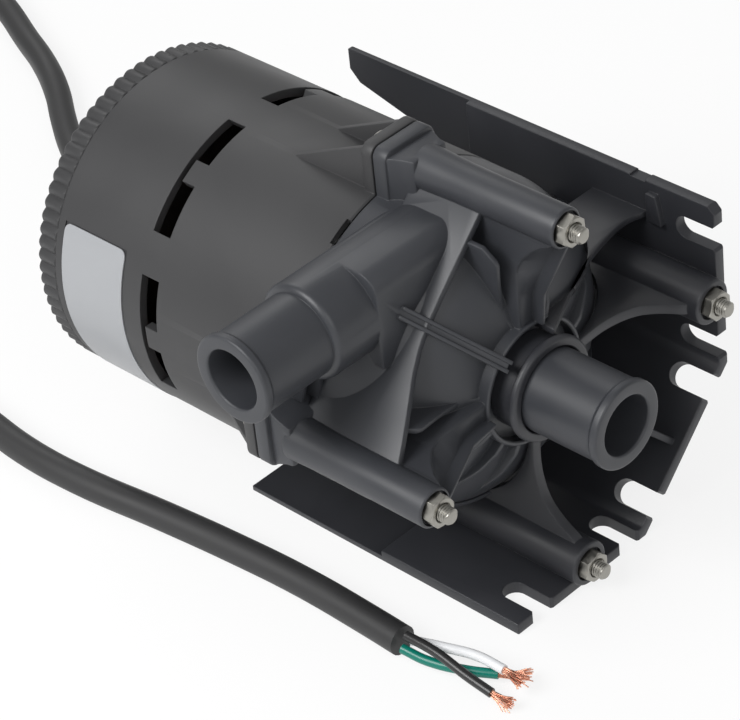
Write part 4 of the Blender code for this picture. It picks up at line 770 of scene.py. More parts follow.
def side_web_heights():
    """Lower and upper face of the web that leaves the collar's top."""
    low = COLLAR_RADIUS - 0.0008
    return low, low + SIDE_WEB_WALL


def side_web():
    """Upright web from the collar's top to the side plate, with a hanging front edge."""
    low, high = side_web_heights()
    start = 0.0041
    end = BRACKET_INNER + PLATE_WALL / 2
    front = through([(start, 0.0104), (0.0095, 0.0130), (0.0230, 0.0196), (0.0331, 0.0238), (0.0427, 0.0264),
                     (0.0510, 0.0279), (0.0567, 0.0274), (end, 0.0250)], 4)
    back = []
    for step in range(17):
        spot = end - (end - start) * step / 16
        radius = hypot(spot, low)
        back.append((spot, behind_web(radius - CLEARANCE) if radius < BODY_RADIUS else LUG_GAP_Y))
    return prism(front + back, low, high, None, 0.0003)


def web_lug():
    """Small lug where the upright web meets the side plate."""
    low = side_web_heights()[0]
    outline = [(0.0196, low), (0.0250, low), (0.0250, 0.0235), (0.0215, 0.0235)]
    return prism(outline, BRACKET_INNER - 0.0018, BRACKET_INNER + 0.0006, FROM_SIDE, 0.0003)


def collar():
    """Sleeve round the suction stub with a rounded rim at its front."""
    inner = STUB_RADIUS + CLEARANCE
    rim_round = 0.0012
    rim = COLLAR_FRONT_Y + COLLAR_LENGTH
    profile = [(inner, SLEEVE_END_Y), (inner, COLLAR_FRONT_Y + EDGE), (inner + EDGE, COLLAR_FRONT_Y)]
    profile += arc(COLLAR_RADIUS - rim_round, COLLAR_FRONT_Y + rim_round, rim_round, rim_round, -90, 0, 8)
    profile += [(COLLAR_RADIUS, rim - EDGE), (COLLAR_RADIUS - EDGE, rim), (COLLAR_SLEEVE_RADIUS, rim)]
    return turned(profile + [(COLLAR_SLEEVE_RADIUS, SLEEVE_END_Y)], closed=True)


def bracket_boss(name):
    """Boss of a bracket station with a rounded front edge."""
    rear = [(BRACKET_BOSS_RADIUS, LUG_GAP_Y), (0.0, LUG_GAP_Y)]
    return at_station(boss_front(BRACKET_BOSS_RADIUS) + rear, name)


def corner_cutter():
    """Slanting cut at the side plate's free front corner, and a shallow notch in its free edge."""
    high = HALF_FACET
    past = 0.001
    front = BRACKET_FRONT_Y
    slant = [(front - past, high - 0.0022), (front, high - 0.0022), (front + 0.0022, high),
             (front + 0.0022, high + past), (front - past, high + past)]
    notch = [(0.0262, high + past), (0.0262, high - 0.0006), (0.0315, high - 0.0006), (0.0315, high + past)]
    inner, outer = BRACKET_INNER - past, BRACKET_REACH + past
    return [prism(outline, inner, outer, FROM_SIDE) for outline in (slant, notch)]


def bracket_mesh():
    strip = lengthwise(facet_strip(BRACKET_REACH, BRACKET_INNER), BRACKET_FRONT_Y, TONGUE_REAR_Y, EDGE)
    steps = cut(rear_cutter(), floor_thinning(), tongue_thinning())
    steps += joined(*(bracket_boss(name) for name in BRACKET_STATIONS), collar())
    reach = BOLT_CIRCLE_RADIUS - BRACKET_BOSS_RADIUS / 2
    for name in BRACKET_STATIONS:
        steps += joined(bracket_web(BOLT_STATIONS[name], boss_web_front(), reach, WEB_WALL))
    middle_reach = BRACKET_INNER + PLATE_WALL / 2
    steps += joined(bracket_web(315.0, middle_web_front(), middle_reach, SIDE_WEB_WALL))
    steps += joined(side_web(), web_lug()) + cut(*slot_cutters(), *corner_cutter())
    steps += cut(*pocketed_holes(LUG_FRONT_Y + BODY_WALL, BRACKET_STATIONS))
    return shaped("pump_bracket", strip, steps)


# Motor housing, rear cap, label and strain relief

def window_centres():
    pitch = 360.0 / WINDOW_COUNT
    return [WINDOW_FIRST_DEGREES + pitch * number for number in range(WINDOW_COUNT)]


def window(centre_degrees):
    """Cutter of a window whose front edge keeps a snap tab in its middle."""
    half = MOTOR_RADIUS * sin(radians(WINDOW_SPAN_DEGREES / 2))
    tab = SNAP_TAB_WIDTH / 2
    rear = WINDOW_Y + WINDOW_WIDTH
    tab_y = WINDOW_Y + SNAP_TAB_LENGTH
    outline = [(-half, WINDOW_Y), (-tab, WINDOW_Y), (-tab, tab_y), (tab, tab_y), (tab, WINDOW_Y)]
    outline += [(half, WINDOW_Y), (half, rear), (-half, rear)]
    return prism(outline, BODY_RADIUS / 2, MOTOR_RADIUS + MOTOR_WALL, about_axis(centre_degrees) @ UPRIGHT)


def sector(inner, outer, start_y, end_y, centre_degrees, span_degrees, count):
    """Curved block between two radii about the pump axis."""
    half = span_degrees / 2
    outline = arc(0, 0, outer, outer, centre_degrees - half, centre_degrees + half, count)
    outline += arc(0, 0, inner, inner, centre_degrees + half, centre_degrees - half, count)
    return lengthwise(outline, start_y, end_y)


def ear_gussets(reach, station_degrees):
    """Two triangular plates behind an ear, one on each side of the bolt head."""
    top = reach - LUG_CORNER / 2
    inner = MOTOR_RADIUS - MOTOR_WALL
    outline = [(inner, HOUSING_FRONT_Y + EAR_LENGTH / 2), (top, HOUSING_FRONT_Y + EAR_LENGTH / 2)]
    outline += [(top, EAR_REAR_Y), (inner + MOTOR_WALL / 4, GUSSET_TIP_Y), (inner, GUSSET_TIP_Y)]
    pieces = []
    for side in (-1, 1):
        far = side * (LUG_HALF_WIDTH - GUSSET_INSET)
        near = far - side * GUSSET_WALL
        pieces.append(prism(outline, min(far, near), max(far, near), about_axis(station_degrees), 0.0003))
    return pieces


def housing_body():
    """Tube with an inner flange that clamps the separation shell."""
    inner = MOTOR_RADIUS - MOTOR_WALL
    flange_y = RECESS_Y + MOTOR_WALL
    front = HOUSING_FRONT_Y
    profile = [(RECESS_RADIUS, front), (MOTOR_RADIUS - EDGE, front), (MOTOR_RADIUS, front + EDGE)]
    profile += [(MOTOR_RADIUS, MOTOR_REAR_Y), (inner, MOTOR_REAR_Y), (inner, flange_y)]
    profile += [(SHELL_RADIUS, flange_y), (SHELL_RADIUS, RECESS_Y), (RECESS_RADIUS, RECESS_Y)]
    return turned(profile, closed=True)


def motor_mesh():
    steps = []
    for name, station in BOLT_STATIONS.items():
        reach = LUG_REACH if name in FREE_STATIONS else BRACKET_LUG_REACH
        ear = lug_block(reach, HOUSING_FRONT_Y, EAR_REAR_Y, station)
        steps += joined(ear, *ear_gussets(reach, station))
    before = HOUSING_FRONT_Y - BODY_WALL
    steps += cut(cylinder(RECESS_RADIUS, before, RECESS_Y, 0, 0, BODY_STEPS))
    span = LABEL_END_DEGREES - LABEL_START_DEGREES + degrees(2 * CLEARANCE / MOTOR_RADIUS)
    steps += cut(sector(MOTOR_RADIUS - LABEL_RECESS, MOTOR_RADIUS + MOTOR_WALL, LABEL_FRONT_Y - CLEARANCE,
                        LABEL_REAR_Y + CLEARANCE, (LABEL_START_DEGREES + LABEL_END_DEGREES) / 2, span, 40))
    steps += cut(*bolt_holes(before, EAR_REAR_Y + BODY_WALL, BOLT_STATIONS))
    steps += cut(*(window(centre) for centre in window_centres()), drain_slit())
    return shaped("motor_shell", housing_body(), steps)


def drain_slit():
    """Cutter of a slit at the seam beside the neck, in which the steel shell's flange shows."""
    rear = SHELL_FLANGE_Y + SHELL_FLANGE_WALL
    return sector(SHELL_FLANGE_RADIUS, MOTOR_RADIUS + MOTOR_WALL, HOUSING_FRONT_Y - MOTOR_WALL, rear,
                  DRAIN_DEGREES, DRAIN_SPAN_DEGREES, 6)


def label_mesh():
    """Bare film on the motor's side with rounded corners."""
    columns = 60
    rows = 16
    length = LABEL_REAR_Y - LABEL_FRONT_Y
    width = radians(LABEL_END_DEGREES - LABEL_START_DEGREES) * LABEL_RADIUS
    bm = bmesh.new()
    rings = []
    for lift in (0.0, LABEL_WALL):
        grid = []
        for row in range(rows + 1):
            v = length * row / rows
            across = [width * column / columns for column in range(columns + 1)]
            spots = [label_corner(u, v, width, length) for u in across]
            grid.append([bm.verts.new(on_motor(*spot, LABEL_RADIUS + lift)) for spot in spots])
        for low, high in zip(grid, grid[1:]):
            for corners in zip(low, low[1:], high[1:], high):
                bm.faces.new(corners)
        right = [line[-1] for line in grid[1:]]
        left = [line[0] for line in grid[-2:0:-1]]
        rings.append(grid[0] + right + grid[-1][-2::-1] + left)
    skin(bm, rings, ends=False)
    return to_mesh("rating_film", bm)


def label_corner(u, v, width, length):
    """Pull a point of the label's outline onto its rounded corner."""
    centre_u = min(max(u, LABEL_CORNER), width - LABEL_CORNER)
    centre_v = min(max(v, LABEL_CORNER), length - LABEL_CORNER)
    away = Vector((u - centre_u, v - centre_v))
    if away.x and away.y and away.length > 0:
        reach = max(abs(away.x), abs(away.y))
        away = away.normalized() * reach
    return centre_u + away.x, centre_v + away.y


def on_motor(u, v, radius):
    turn = radians(LABEL_START_DEGREES) + u / LABEL_RADIUS
    return on_circle(radius, turn, LABEL_FRONT_Y + v)


def scalloped_rim():
    """Grip rim with one shallow scallop after another and a rounded rear edge."""
    count = 8 * SCALLOP_COUNT
    levels = [(CAP_FRONT_Y, 0.0004), (CAP_FRONT_Y + 0.0004, 0.0), (CAP_REAR_Y - 0.0008, 0.0),
              (CAP_REAR_Y - 0.0003, 0.0003), (CAP_REAR_Y, 0.0008)]
    bm = bmesh.new()
    rings = []
    for y, inset in levels:
        ring = []
        for step in range(count):
            turn = 2 * pi * step / count
            wave = abs(cos(SCALLOP_COUNT * turn / 2))
            radius = MOTOR_RADIUS - SCALLOP_DEPTH * (1 - wave) - inset
            ring.append(bm.verts.new(on_circle(radius, turn, y)))
        rings.append(ring)
    skin(bm, rings)
    bmesh.ops.recalc_face_normals(bm, faces=bm.faces)
    return bm


def cap_mesh():
    spigot = MOTOR_RADIUS - MOTOR_WALL - CLEARANCE
    bore = spigot - CAP_WALL / 2
    start = CAP_FRONT_Y - CAP_SPIGOT_LENGTH
    end = CAP_FRONT_Y + CAP_WALL / 2
    ring = turned([(bore, start), (spigot, start), (spigot, end), (bore, end)], closed=True)
    room = cylinder(bore, start - CAP_WALL, CAP_REAR_Y - CAP_WALL, 0, 0, BODY_STEPS)
    dish = turned([(0.0, CAP_REAR_Y + 0.001), (0.0440, CAP_REAR_Y + 0.001), (0.0440, CAP_REAR_Y),
                   (0.0434, CAP_REAR_Y - 0.0006), (0.0, CAP_REAR_Y - 0.0006)])
    hole = cylinder(GLAND_NECK_RADIUS, MOTOR_REAR_Y, CAP_REAR_Y + CAP_WALL, GLAND_X, GLAND_Z)
    return shaped("rear_cap_rim", scalloped_rim(), joined(ring) + cut(room, dish, hole))


def gland_mesh():
    """Strain relief with ribs that grow thinner along the cord."""
    neck = GLAND_NECK_RADIUS - CLEARANCE
    wide = GLAND_FLANGE_RADIUS
    inside = CAP_REAR_Y - CAP_WALL - CLEARANCE
    outside = CAP_REAR_Y + CLEARANCE
    collar_wall = CAP_WALL - 4 * CLEARANCE
    start = outside + collar_wall
    profile = [(0.0, inside - collar_wall), (neck, inside - collar_wall), (wide, inside), (neck, inside)]
    profile += [(neck, outside), (wide - EDGE, outside), (wide, outside + EDGE), (wide, start - EDGE)]
    profile.append((wide - EDGE, start))
    tip = CORD_RADIUS + 2 * CLEARANCE
    first = wide - GLAND_RIB_DEPTH
    pitch = (GLAND_END_Y - start) / GLAND_RIBS
    for number in range(GLAND_RIBS):
        share = number / GLAND_RIBS
        top = first - (first - tip) * share
        low = top - GLAND_RIB_DEPTH * (1 - share) - 0.0001
        y = start + pitch * number
        profile += [(low, y), (low, y + 0.25 * pitch), (top, y + 0.35 * pitch), (top, y + 0.90 * pitch)]
    bm = turned(profile + [(tip, GLAND_END_Y), (0.0, GLAND_END_Y)], 64)
    bmesh.ops.translate(bm, verts=bm.verts, vec=(GLAND_X, 0, GLAND_Z))
    return to_mesh("strain_relief", bm)


# Fasteners

def thread(radius, start_y, end_y, steps=24):
    """Closed rod along Y with a helical thread between its two ends."""
    rows = int((end_y - start_y) / THREAD_PITCH * 4)
    bm = bmesh.new()
    rings = []
    for row in range(rows + 1):
        y = start_y + (end_y - start_y) * row / rows
        taper = max(0.0, 0.0005 - min(y - start_y, end_y - y))
        ring = []
        for step in range(steps):
            turn = 2 * pi * step / steps
            phase = (y / THREAD_PITCH + step / steps) % 1.0
            reach = radius - THREAD_DEPTH * abs(2 * phase - 1) - taper
            ring.append(bm.verts.new(on_circle(reach, turn, y)))
        rings.append(ring)
    skin(bm, rings)
    return bm


def moved_to_station(mesh, name):
    x, z = station_place(name)
    mesh.transform(Matrix.Translation((x, 0, z)))
    return mesh


def bolt_mesh(name):
    """Pan-head machine screw: threaded tip, plain shank and a head with a cross recess."""
    head = EAR_REAR_Y + CLEARANCE
    top = head + BOLT_HEAD_HEIGHT
    tip_end = NUT_FACE_Y + 0.0030
    profile = [(0.0, tip_end - 0.0004), (BOLT_RADIUS - 0.0003, tip_end - 0.0004), (BOLT_RADIUS, tip_end)]
    profile += [(BOLT_RADIUS, head), (BOLT_HEAD_RADIUS - 0.0002, head), (BOLT_HEAD_RADIUS, head + 0.0002)]
    profile += arc(0, head + BOLT_HEAD_HEIGHT / 2, BOLT_HEAD_RADIUS, BOLT_HEAD_HEIGHT / 2, 0, 90, 10)
    profile[-1] = (0.0, profile[-1][1])
    steps = joined(thread(BOLT_RADIUS, BOLT_TIP_Y, tip_end + 0.0002))
    bar = [(-0.0026, -0.0006), (0.0026, -0.0006), (0.0026, 0.0006), (-0.0026, 0.0006)]
    for turn in (25, 115):
        place = Matrix.Rotation(radians(turn), 4, "Y") @ Matrix.Rotation(pi / 2, 4, "X")
        steps += cut(prism(bar, -(top + 0.001), -(top - 0.0018), place))
    return moved_to_station(shaped(f"screw_{name}", turned(profile, 40), steps), name)


def nut_mesh(name):
    """Hexagon nut with chamfered corners and a plain hole with a widened mouth."""
    flat = NUT_ACROSS_FLATS / 2
    corner = flat / cos(pi / 6)
    face = NUT_FACE_Y - CLEARANCE
    front = face - NUT_HEIGHT
    turn = radians({"right": 12, "top": 20, "left": 4, "bottom": 17}[name])
    hexagon = [(corner * cos(pi * side / 3 + turn), corner * sin(pi * side / 3 + turn)) for side in range(6)]
    rim = corner + 0.0001
    cone = turned([(0.0, front), (flat - 0.0001, front), (rim, front + 0.0006), (rim, face - 0.0006),
                   (flat - 0.0001, face), (0.0, face)], 48)
    wide = BOLT_RADIUS + 0.0005
    narrow = BOLT_RADIUS + 0.0001
    hole = turned([(0.0, front - 0.001), (wide, front - 0.001), (wide, front), (narrow, front + 0.0005),
                   (narrow, face + 0.001), (0.0, face + 0.001)], 32)
    block = lengthwise(hexagon, front, face, 0.00012)
    return moved_to_station(shaped(f"hex_nut_{name}", block, [("INTERSECT", cone)] + cut(hole)), name)


# Cord

def lead_points():
    """The cord's way from the strain relief to its coil, as in the CAD."""
    start_y = GLAND_END_Y + CLEARANCE + PUMP_ORIGIN.y
    start_z = AXIS_HEIGHT + GLAND_Z
    coil_y = COIL_CENTRE.y + COIL_OUTER_TURN
    hanging = [(GLAND_X, start_y, start_z), (GLAND_X, start_y + 0.010, start_z), (0.021, 0.164, 0.0310),
               (0.034, 0.182, 0.0150), (0.0465, 0.198, 0.0058)]
    lying = [(0.0540, 0.2135), (0.0605, 0.2260), (0.0698, 0.2403), (0.0805, 0.2555), (0.0900, 0.2725),
             (0.0975, 0.2900), (0.1065, 0.3105), (0.1130, 0.3300), (0.1090, 0.3510), (0.0930, 0.3655),
             (0.0700, coil_y), (0.0480, coil_y), (0.0220, coil_y)]
    return hanging + [(x, y, CORD_RADIUS) for x, y in lying]


def coil_points():
    """Two turns side by side on the floor, and the last half turn on top of them."""
    points = []
    for step in range(int(COIL_DEGREES / 15) + 1):
        turned_by = 15 * step
        angle = radians(90 + turned_by)
        inward = ease((turned_by - 200) / 150)
        radius = COIL_OUTER_TURN + (COIL_INNER_TURN - COIL_OUTER_TURN) * inward
        height = CORD_RADIUS + (CORD_DIAMETER + 0.0002) * ease((turned_by - 690) / 60)
        points.append((COIL_CENTRE.x + radius * cos(angle), COIL_CENTRE.y + radius * sin(angle), height))
    return points


def ease(share):
    """Smooth step from 0 to 1."""
    share = min(max(share, 0.0), 1.0)
    return share * share * (3 - 2 * share)


def tail_points():
    """The cord's way from the coil to its cut end in front of the pump, as in the CAD."""
    low = CORD_RADIUS
    side = COIL_CENTRE.x - COIL_INNER_TURN
    start_y = 0.2795
    sloping = [(side, start_y, low + 0.0088), (side, start_y - 0.015, low + 0.0080),
               (side - 0.0004, start_y - 0.040, low + 0.0035), (side - 0.0014, start_y - 0.065, low + 0.0004)]
    lying = [(side - 0.0030, start_y - 0.085), (side - 0.0062, 0.167), (-0.0548, 0.140), (-0.0575, 0.116),
             (-0.0572, 0.094), (-0.0535, 0.061), (-0.0512, 0.036), (-0.0498, 0.010), (-0.0502, -0.016),
             (-0.0507, -0.028)]
    return sloping + [(x, y, low) for x, y in lying]


def new_curve(name, diameter, sides):
    curve = bpy.data.curves.new(name, "CURVE")
    curve.dimensions = "3D"
    curve.bevel_depth = diameter / 2
    curve.bevel_resolution = sides
    curve.use_fill_caps = True
    return curve


def add_spline(curve, points):
    """One smooth open spline through the points."""
    spline = curve.splines.new("BEZIER")
    spline.bezier_points.add(len(points) - 1)
    for spot, point in zip(spline.bezier_points, points):
        spot.co = point
        spot.handle_left_type = "AUTO"
        spot.handle_right_type = "AUTO"


def open_curve(name, points, diameter, sides):
    """Round cord along one smooth open curve through the points."""
    curve = new_curve(name, diameter, sides)
    curve.resolution_u = 6
    add_spline(curve, points)
    return add_piece(name, curve)


# Ways of the wires out of the jacket; the last point of each is the tip of its bare strands
WIRE_ROUTES = {
    "green": [(-0.0529, -0.0300, 0.0042), (-0.0517, -0.0380, 0.0034), (-0.0475, -0.0490, 0.0030),
              (-0.0435, -0.0560, 0.0028), (-0.0385, -0.0635, 0.0025)],
    "white": [(-0.0490, -0.0300, 0.0044), (-0.0462, -0.0400, 0.0052), (-0.0446, -0.0500, 0.0066),
              (-0.0442, -0.0590, 0.0064), (-0.0442, -0.0660, 0.0058)],
    "black": [(-0.0509, -0.0300, 0.0074), (-0.0506, -0.0400, 0.0070), (-0.0508, -0.0520, 0.0048),
              (-0.0506, -0.0600, 0.0034), (-0.0506, -0.0670, 0.0024)],
}


def strands(name, start, tip, material, count=34):
    """Frayed bundle of thin copper strands that leave a stripped wire."""
    rng = random.Random(name)
    curve = new_curve(name, STRAND_DIAMETER, 2)
    reach = (tip - start).length
    direction = (tip - start).normalized()
    side = direction.cross(Vector((0, 0, 1))).normalized()
    up = side.cross(direction).normalized()
    for _ in range(count):
        turn = rng.uniform(0, 2 * pi)
        spread = 0.0009 * sqrt(rng.random())
        fan = rng.uniform(0.4, 2.6)
        length = reach * rng.uniform(0.75, 1.02)
        offset = side * cos(turn) + up * sin(turn)
        points = []
        for share in (0.0, 0.33, 0.66, 1.0):
            away = spread * (1 + fan * share * share)
            bend = rng.uniform(-0.0002, 0.0002) * share * 3
            place = start + direction * (length * share) + offset * away + side * bend
            place.z = max(place.z, 0.0003)
            points.append(place)
        add_spline(curve, points)
    curve.materials.append(material)
    return add_piece(name, curve)


def curve_to_mesh(piece):
    """Turn a curve object into a mesh object of the same name."""
    bpy.context.view_layer.update()
    mesh = bpy.data.meshes.new_from_object(piece.evaluated_get(bpy.context.evaluated_depsgraph_get()))
    name = piece.name
    bpy.data.objects.remove(piece)
    return add_piece(name, mesh)


# Materials

def add_node(nodes, kind, **values):
    """New node with some of its inputs set; each blank in an input's name is written as _."""
    node = nodes.new(kind)
    for name, value in values.items():
        node.inputs[name.replace("_", " ")].default_value = value
    return node


def adder(nodes):
    node = nodes.new("ShaderNodeMath")
    node.operation = "ADD"
    return node


def link(links, *rows):
    """Link rows of a node, its output, another node and its input."""
    for source, output, target, entry in rows:
        links.new(source.outputs[output], target.inputs[entry])


def moulding_grain():
    """Shared effect of moulded plastic: fine grain, flow marks and rubbed spots."""
    group = bpy.data.node_groups.new("moulding_grain", "ShaderNodeTree")
    number, colour = "NodeSocketFloat", "NodeSocketColor"
    entries = [("Grain Scale", number, 2600.0), ("Flow Scale", number, 22.0),
               ("Least Roughness", number, 0.4), ("Most Roughness", number, 0.55),
               ("Dark", colour, (0, 0, 0, 1)), ("Pale", colour, (1, 1, 1, 1))]
    for name, kind, value in entries:
        group.interface.new_socket(name, in_out="INPUT", socket_type=kind).default_value = value
    for name, kind in (("Color", colour), ("Roughness", number), ("Height", number)):
        group.interface.new_socket(name, in_out="OUTPUT", socket_type=kind)
    nodes = group.nodes
    start = nodes.new("NodeGroupInput")
    end = nodes.new("NodeGroupOutput")
    place = nodes.new("ShaderNodeTexCoord")
    grain = add_node(nodes, "ShaderNodeTexNoise", Detail=3.0)
    flow = add_node(nodes, "ShaderNodeTexNoise", Detail=5.0, Distortion=1.2)
    rough = add_node(nodes, "ShaderNodeMapRange", From_Min=0.3, From_Max=0.7)
    mix = nodes.new("ShaderNodeMix")
    mix.data_type = "RGBA"
    height = adder(nodes)
    link(group.links,
         (place, "Object", grain, "Vector"), (place, "Object", flow, "Vector"),
         (start, "Grain Scale", grain, "Scale"), (start, "Flow Scale", flow, "Scale"),
         (flow, "Fac", rough, "Value"), (start, "Least Roughness", rough, "To Min"),
         (start, "Most Roughness", rough, "To Max"), (flow, "Fac", mix, "Factor"),
         (start, "Dark", mix, "A"), (start, "Pale", mix, "B"),
         (grain, "Fac", height, 0), (flow, "Fac", height, 1),
         (mix, "Result", end, "Color"), (rough, "Result", end, "Roughness"), (height, "Value", end, "Height"))
    return group


def new_material(name):
    material = bpy.data.materials.new(name)
    material.use_nodes = True
    return material, material.node_tree.nodes, material.node_tree.links


def grained(name, dark, pale, roughness, grain_scale, flow_scale, bump_strength, bump_depth, edge):
    """Material whose colour drifts a little, with fine grain and, where asked, rounded edges."""
    material, nodes, links = new_material(name)
    shader = nodes["Principled BSDF"]
    skin_node = nodes.new("ShaderNodeGroup")
    skin_node.node_tree = MOULDING_GRAIN
    values = {"Grain Scale": grain_scale, "Flow Scale": flow_scale, "Least Roughness": roughness[0],
              "Most Roughness": roughness[1], "Dark": (*dark, 1), "Pale": (*pale, 1)}
    for entry, value in values.items():
        skin_node.inputs[entry].default_value = value
    bump = add_node(nodes, "ShaderNodeBump", Strength=bump_strength, Distance=bump_depth)
    link(links, (skin_node, "Color", shader, "Base Color"), (skin_node, "Roughness", shader, "Roughness"),
         (skin_node, "Height", bump, "Height"), (bump, "Normal", shader, "Normal"))
    if edge:
        bevel = add_node(nodes, "ShaderNodeBevel", Radius=edge)
        bevel.samples = 4
        link(links, (bevel, "Normal", bump, "Normal"))
    return material


def plastic(name, dark, pale, roughness, edge=0.0004, grain_scale=2600.0, grain=0.00002):
    """Moulded plastic with satin gloss."""
    return grained(name, dark, pale, roughness, grain_scale, 22.0, 0.35, grain, edge)


def metal(name, dark, pale, roughness, scratch_scale=900.0):
    """Metal with fine scratches and dull spots."""
    material = grained(name, dark, pale, roughness, scratch_scale, 300.0, 0.3, 0.00002, 0.0)
    material.node_tree.nodes["Principled BSDF"].inputs["Metallic"].default_value = 1.0
    return material


def floor_material():
    """White floor that keeps the pump's soft shadow."""
    material, nodes, links = new_material("studio_floor")
    nodes.remove(nodes["Principled BSDF"])
    diffuse = add_node(nodes, "ShaderNodeBsdfDiffuse", Color=(FLOOR_SHADE, FLOOR_SHADE, FLOOR_SHADE, 1))
    glow = add_node(nodes, "ShaderNodeEmission", Color=WHITE, Strength=1.0)
    rays = nodes.new("ShaderNodeLightPath")
    seen, more = adder(nodes), adder(nodes)
    share = nodes.new("ShaderNodeMath")
    share.operation = "MULTIPLY"
    share.use_clamp = True
    share.inputs[1].default_value = FLOOR_GLOW_SHARE
    mix = nodes.new("ShaderNodeMixShader")
    link(links, (rays, "Is Camera Ray", seen, 0), (rays, "Is Glossy Ray", seen, 1),
         (seen, "Value", more, 0), (rays, "Is Transmission Ray", more, 1), (more, "Value", share, 0),
         (share, "Value", mix, "Fac"), (diffuse, "BSDF", mix, 1), (glow, "Emission", mix, 2),
         (mix, "Shader", nodes["Material Output"], "Surface"))
    return material


# Stage

FLOOR_SHADE = 0.90
FLOOR_GLOW_SHARE = 0.82
ROOM_LIGHT = 0.42
WHITE = (1, 1, 1, 1)
LAMP_AIM = (0.0, 0.02, 0.06)
# Name, place, size and power of each lamp
LAMPS = [
    ("key_lamp", (-0.85, 0.15, 0.85), 0.7, 12.0),
    ("front_lamp", (-0.5, -1.2, 0.9), 0.8, 4.5),
    ("rim_lamp", (0.5, 1.0, 1.0), 0.8, 3.0),
]
CAMERA_PLACE = Vector((-0.52704, -0.54921, 0.61778))
CAMERA_FORWARD = Vector((0.5431, 0.5946, -0.5929))
CAMERA_RIGHT = Vector((0.6887, -0.7193, -0.0904))
CAMERA_LENS = 170.06


def add_camera():
    data = bpy.data.cameras.new("photo_camera")
    data.lens = CAMERA_LENS
    data.sensor_width = 36.0
    camera = add_piece("photo_camera", data)
    forward = CAMERA_FORWARD.normalized()
    right = CAMERA_RIGHT.normalized()
    up = right.cross(forward).normalized()
    turn = Matrix((right, up, -forward)).transposed()
    camera.matrix_world = Matrix.Translation(CAMERA_PLACE) @ turn.to_4x4()
    bpy.context.scene.camera = camera


def add_lamp(name, place, size, power):
    data = bpy.data.lights.new(name, "AREA")
    data.shape = "DISK"
    data.size = size
    data.energy = power
    lamp = add_piece(name, data)
    lamp.location = place
    lamp.rotation_euler = (Vector(LAMP_AIM) - Vector(place)).to_track_quat("-Z", "Y").to_euler()


def add_floor():
    bm = bmesh.new()
    bmesh.ops.create_grid(bm, x_segments=4, y_segments=4, size=6.0)
    floor = add_piece("studio_floor", to_mesh("studio_floor", bm))
    floor.data.materials.append(floor_material())


def add_world():
    """White room that the camera sees at full strength and the pump at less."""
    world = bpy.data.worlds.new("studio")
    bpy.context.scene.world = world
    world.use_nodes = True
    nodes = world.node_tree.nodes
    plain = nodes["Background"]
    plain.inputs["Color"].default_value = WHITE
    plain.inputs["Strength"].default_value = ROOM_LIGHT
    seen = add_node(nodes, "ShaderNodeBackground", Strength=1.0, Color=WHITE)
    rays = nodes.new("ShaderNodeLightPath")
    mix = nodes.new("ShaderNodeMixShader")
    link(world.node_tree.links, (rays, "Is Camera Ray", mix, "Fac"), (plain, "Background", mix, 1),
         (seen, "Background", mix, 2), (mix, "Shader", nodes["World Output"], "Surface"))


def keep_node(name, material):
    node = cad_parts[name]
    node.data.materials.clear()
    node.data.materials.append(material)


MOULDING_GRAIN = moulding_grain()


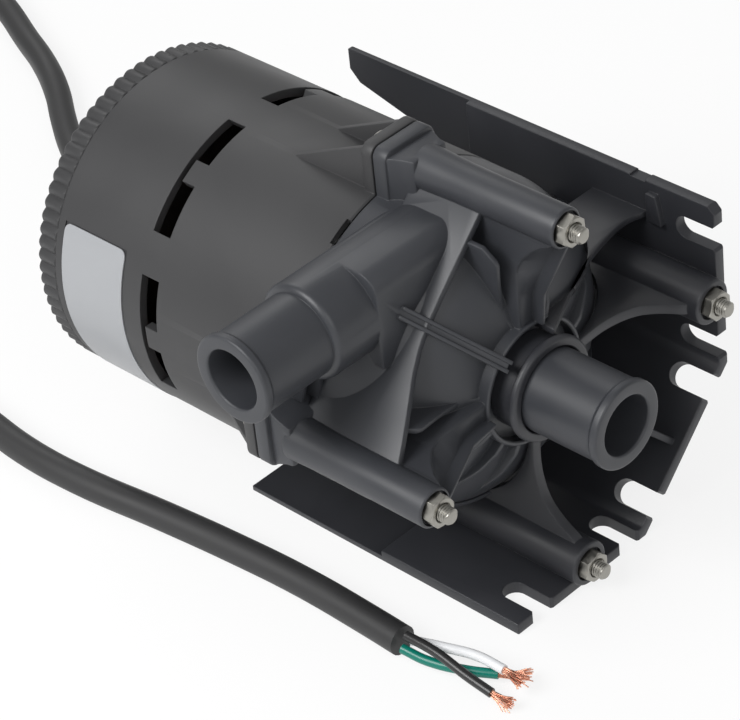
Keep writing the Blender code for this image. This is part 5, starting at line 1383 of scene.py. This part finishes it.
def build_pump():
    volute_plastic = plastic("volute_plastic", (0.026, 0.028, 0.033), (0.040, 0.042, 0.048), (0.36, 0.50))
    bracket_plastic = plastic("bracket_plastic", (0.020, 0.021, 0.025), (0.030, 0.031, 0.036), (0.38, 0.52))
    motor_plastic = plastic("motor_plastic", (0.029, 0.029, 0.0305), (0.037, 0.037, 0.0385), (0.42, 0.54))
    place_on_pump("pump_volute", volute_mesh(), volute_plastic, "volute_housing")
    place_on_pump("pump_bracket", bracket_mesh(), bracket_plastic, "mounting_bracket")
    place_on_pump("motor_shell", motor_mesh(), motor_plastic, "motor_housing")
    place_on_pump("rear_cap_rim", cap_mesh(), motor_plastic, "rear_cap")
    film = plastic("label_film", (0.285, 0.295, 0.310), (0.330, 0.337, 0.350), (0.34, 0.44), edge=0.0,
                   grain_scale=400.0)
    place_on_pump("rating_film", label_mesh(), film, "rating_label")
    rubber = plastic("rubber", (0.018, 0.018, 0.018), (0.028, 0.028, 0.028), (0.6, 0.8), edge=0.0003)
    place_on_pump("strain_relief", gland_mesh(), rubber, "cord_gland")
    zinc = metal("zinc_steel", (0.27, 0.26, 0.235), (0.42, 0.41, 0.375), (0.30, 0.50))
    for name in BOLT_STATIONS:
        place_on_pump(f"screw_{name}", bolt_mesh(name), zinc, f"bolt_{name}")
        place_on_pump(f"hex_nut_{name}", nut_mesh(name), zinc, f"nut_{name}")
    steel = metal("stainless", (0.50, 0.50, 0.49), (0.64, 0.64, 0.63), (0.2, 0.36))
    keep_node("volute_seal", rubber)
    keep_node("separation_shell", steel)
    keep_node("bearing_post", steel)
    ceramic = plastic("ceramic", (0.78, 0.77, 0.73), (0.86, 0.85, 0.81), (0.12, 0.2), edge=0.0)
    keep_node("bearing_ball", ceramic)
    keep_node("rotor_cup", metal("magnet", (0.08, 0.08, 0.09), (0.14, 0.14, 0.15), (0.4, 0.6)))
    wheel = plastic("impeller_plastic", (0.16, 0.17, 0.19), (0.22, 0.23, 0.25), (0.4, 0.5))
    keep_node("impeller", wheel)
    keep_node("stator_core", metal("lamination", (0.22, 0.22, 0.24), (0.32, 0.32, 0.34), (0.4, 0.6), 4000.0))
    copper = metal("winding_copper", (0.55, 0.24, 0.13), (0.75, 0.38, 0.22), (0.3, 0.5))
    keep_node("stator_winding_front", copper)
    keep_node("stator_winding_rear", copper)


def build_cord():
    jacket = plastic("cord_jacket", (0.019, 0.019, 0.0195), (0.031, 0.031, 0.032), (0.42, 0.62), edge=0.0,
                     grain=0.00006)
    insulation = {
        "green": plastic("green_wire", (0.0, 0.13, 0.095), (0.0, 0.20, 0.15), (0.25, 0.4), edge=0.0),
        "white": plastic("white_wire", (0.72, 0.73, 0.75), (0.80, 0.81, 0.82), (0.25, 0.4), edge=0.0),
        "black": plastic("black_wire", (0.016, 0.016, 0.017), (0.03, 0.03, 0.03), (0.25, 0.4), edge=0.0),
    }
    copper = metal("copper_strand", (0.72, 0.34, 0.22), (0.90, 0.52, 0.38), (0.25, 0.4), 2000.0)
    points = lead_points() + coil_points() + tail_points()
    cord = open_curve("mains_cord", points, CORD_DIAMETER, 8)
    cord.data.materials.append(jacket)
    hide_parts("cord_lead", "cord_coil", "cord_tail")
    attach(cord, "pump")
    pieces = []
    for colour, route in WIRE_ROUTES.items():
        wire = curve_to_mesh(open_curve(f"lead_{colour}", route[:-1], WIRE_DIAMETER, 6))
        wire.data.materials.clear()
        wire.data.materials.append(insulation[colour])
        wire.data.shade_smooth()
        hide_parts(f"wire_{colour}")
        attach(wire, "pump")
        tuft = curve_to_mesh(strands(f"strands_{colour}", Vector(route[-2]), Vector(route[-1]), copper))
        tuft.data.shade_smooth()
        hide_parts(f"copper_{colour}")
        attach(tuft, "pump")
        pieces += [wire, tuft]


def build_stage():
    add_camera()
    add_floor()
    add_world()
    for name, place, size, power in LAMPS:
        add_lamp(name, place, size, power)
    bpy.context.scene.view_settings.view_transform = "Standard"


build_pump()
build_cord()
build_stage()
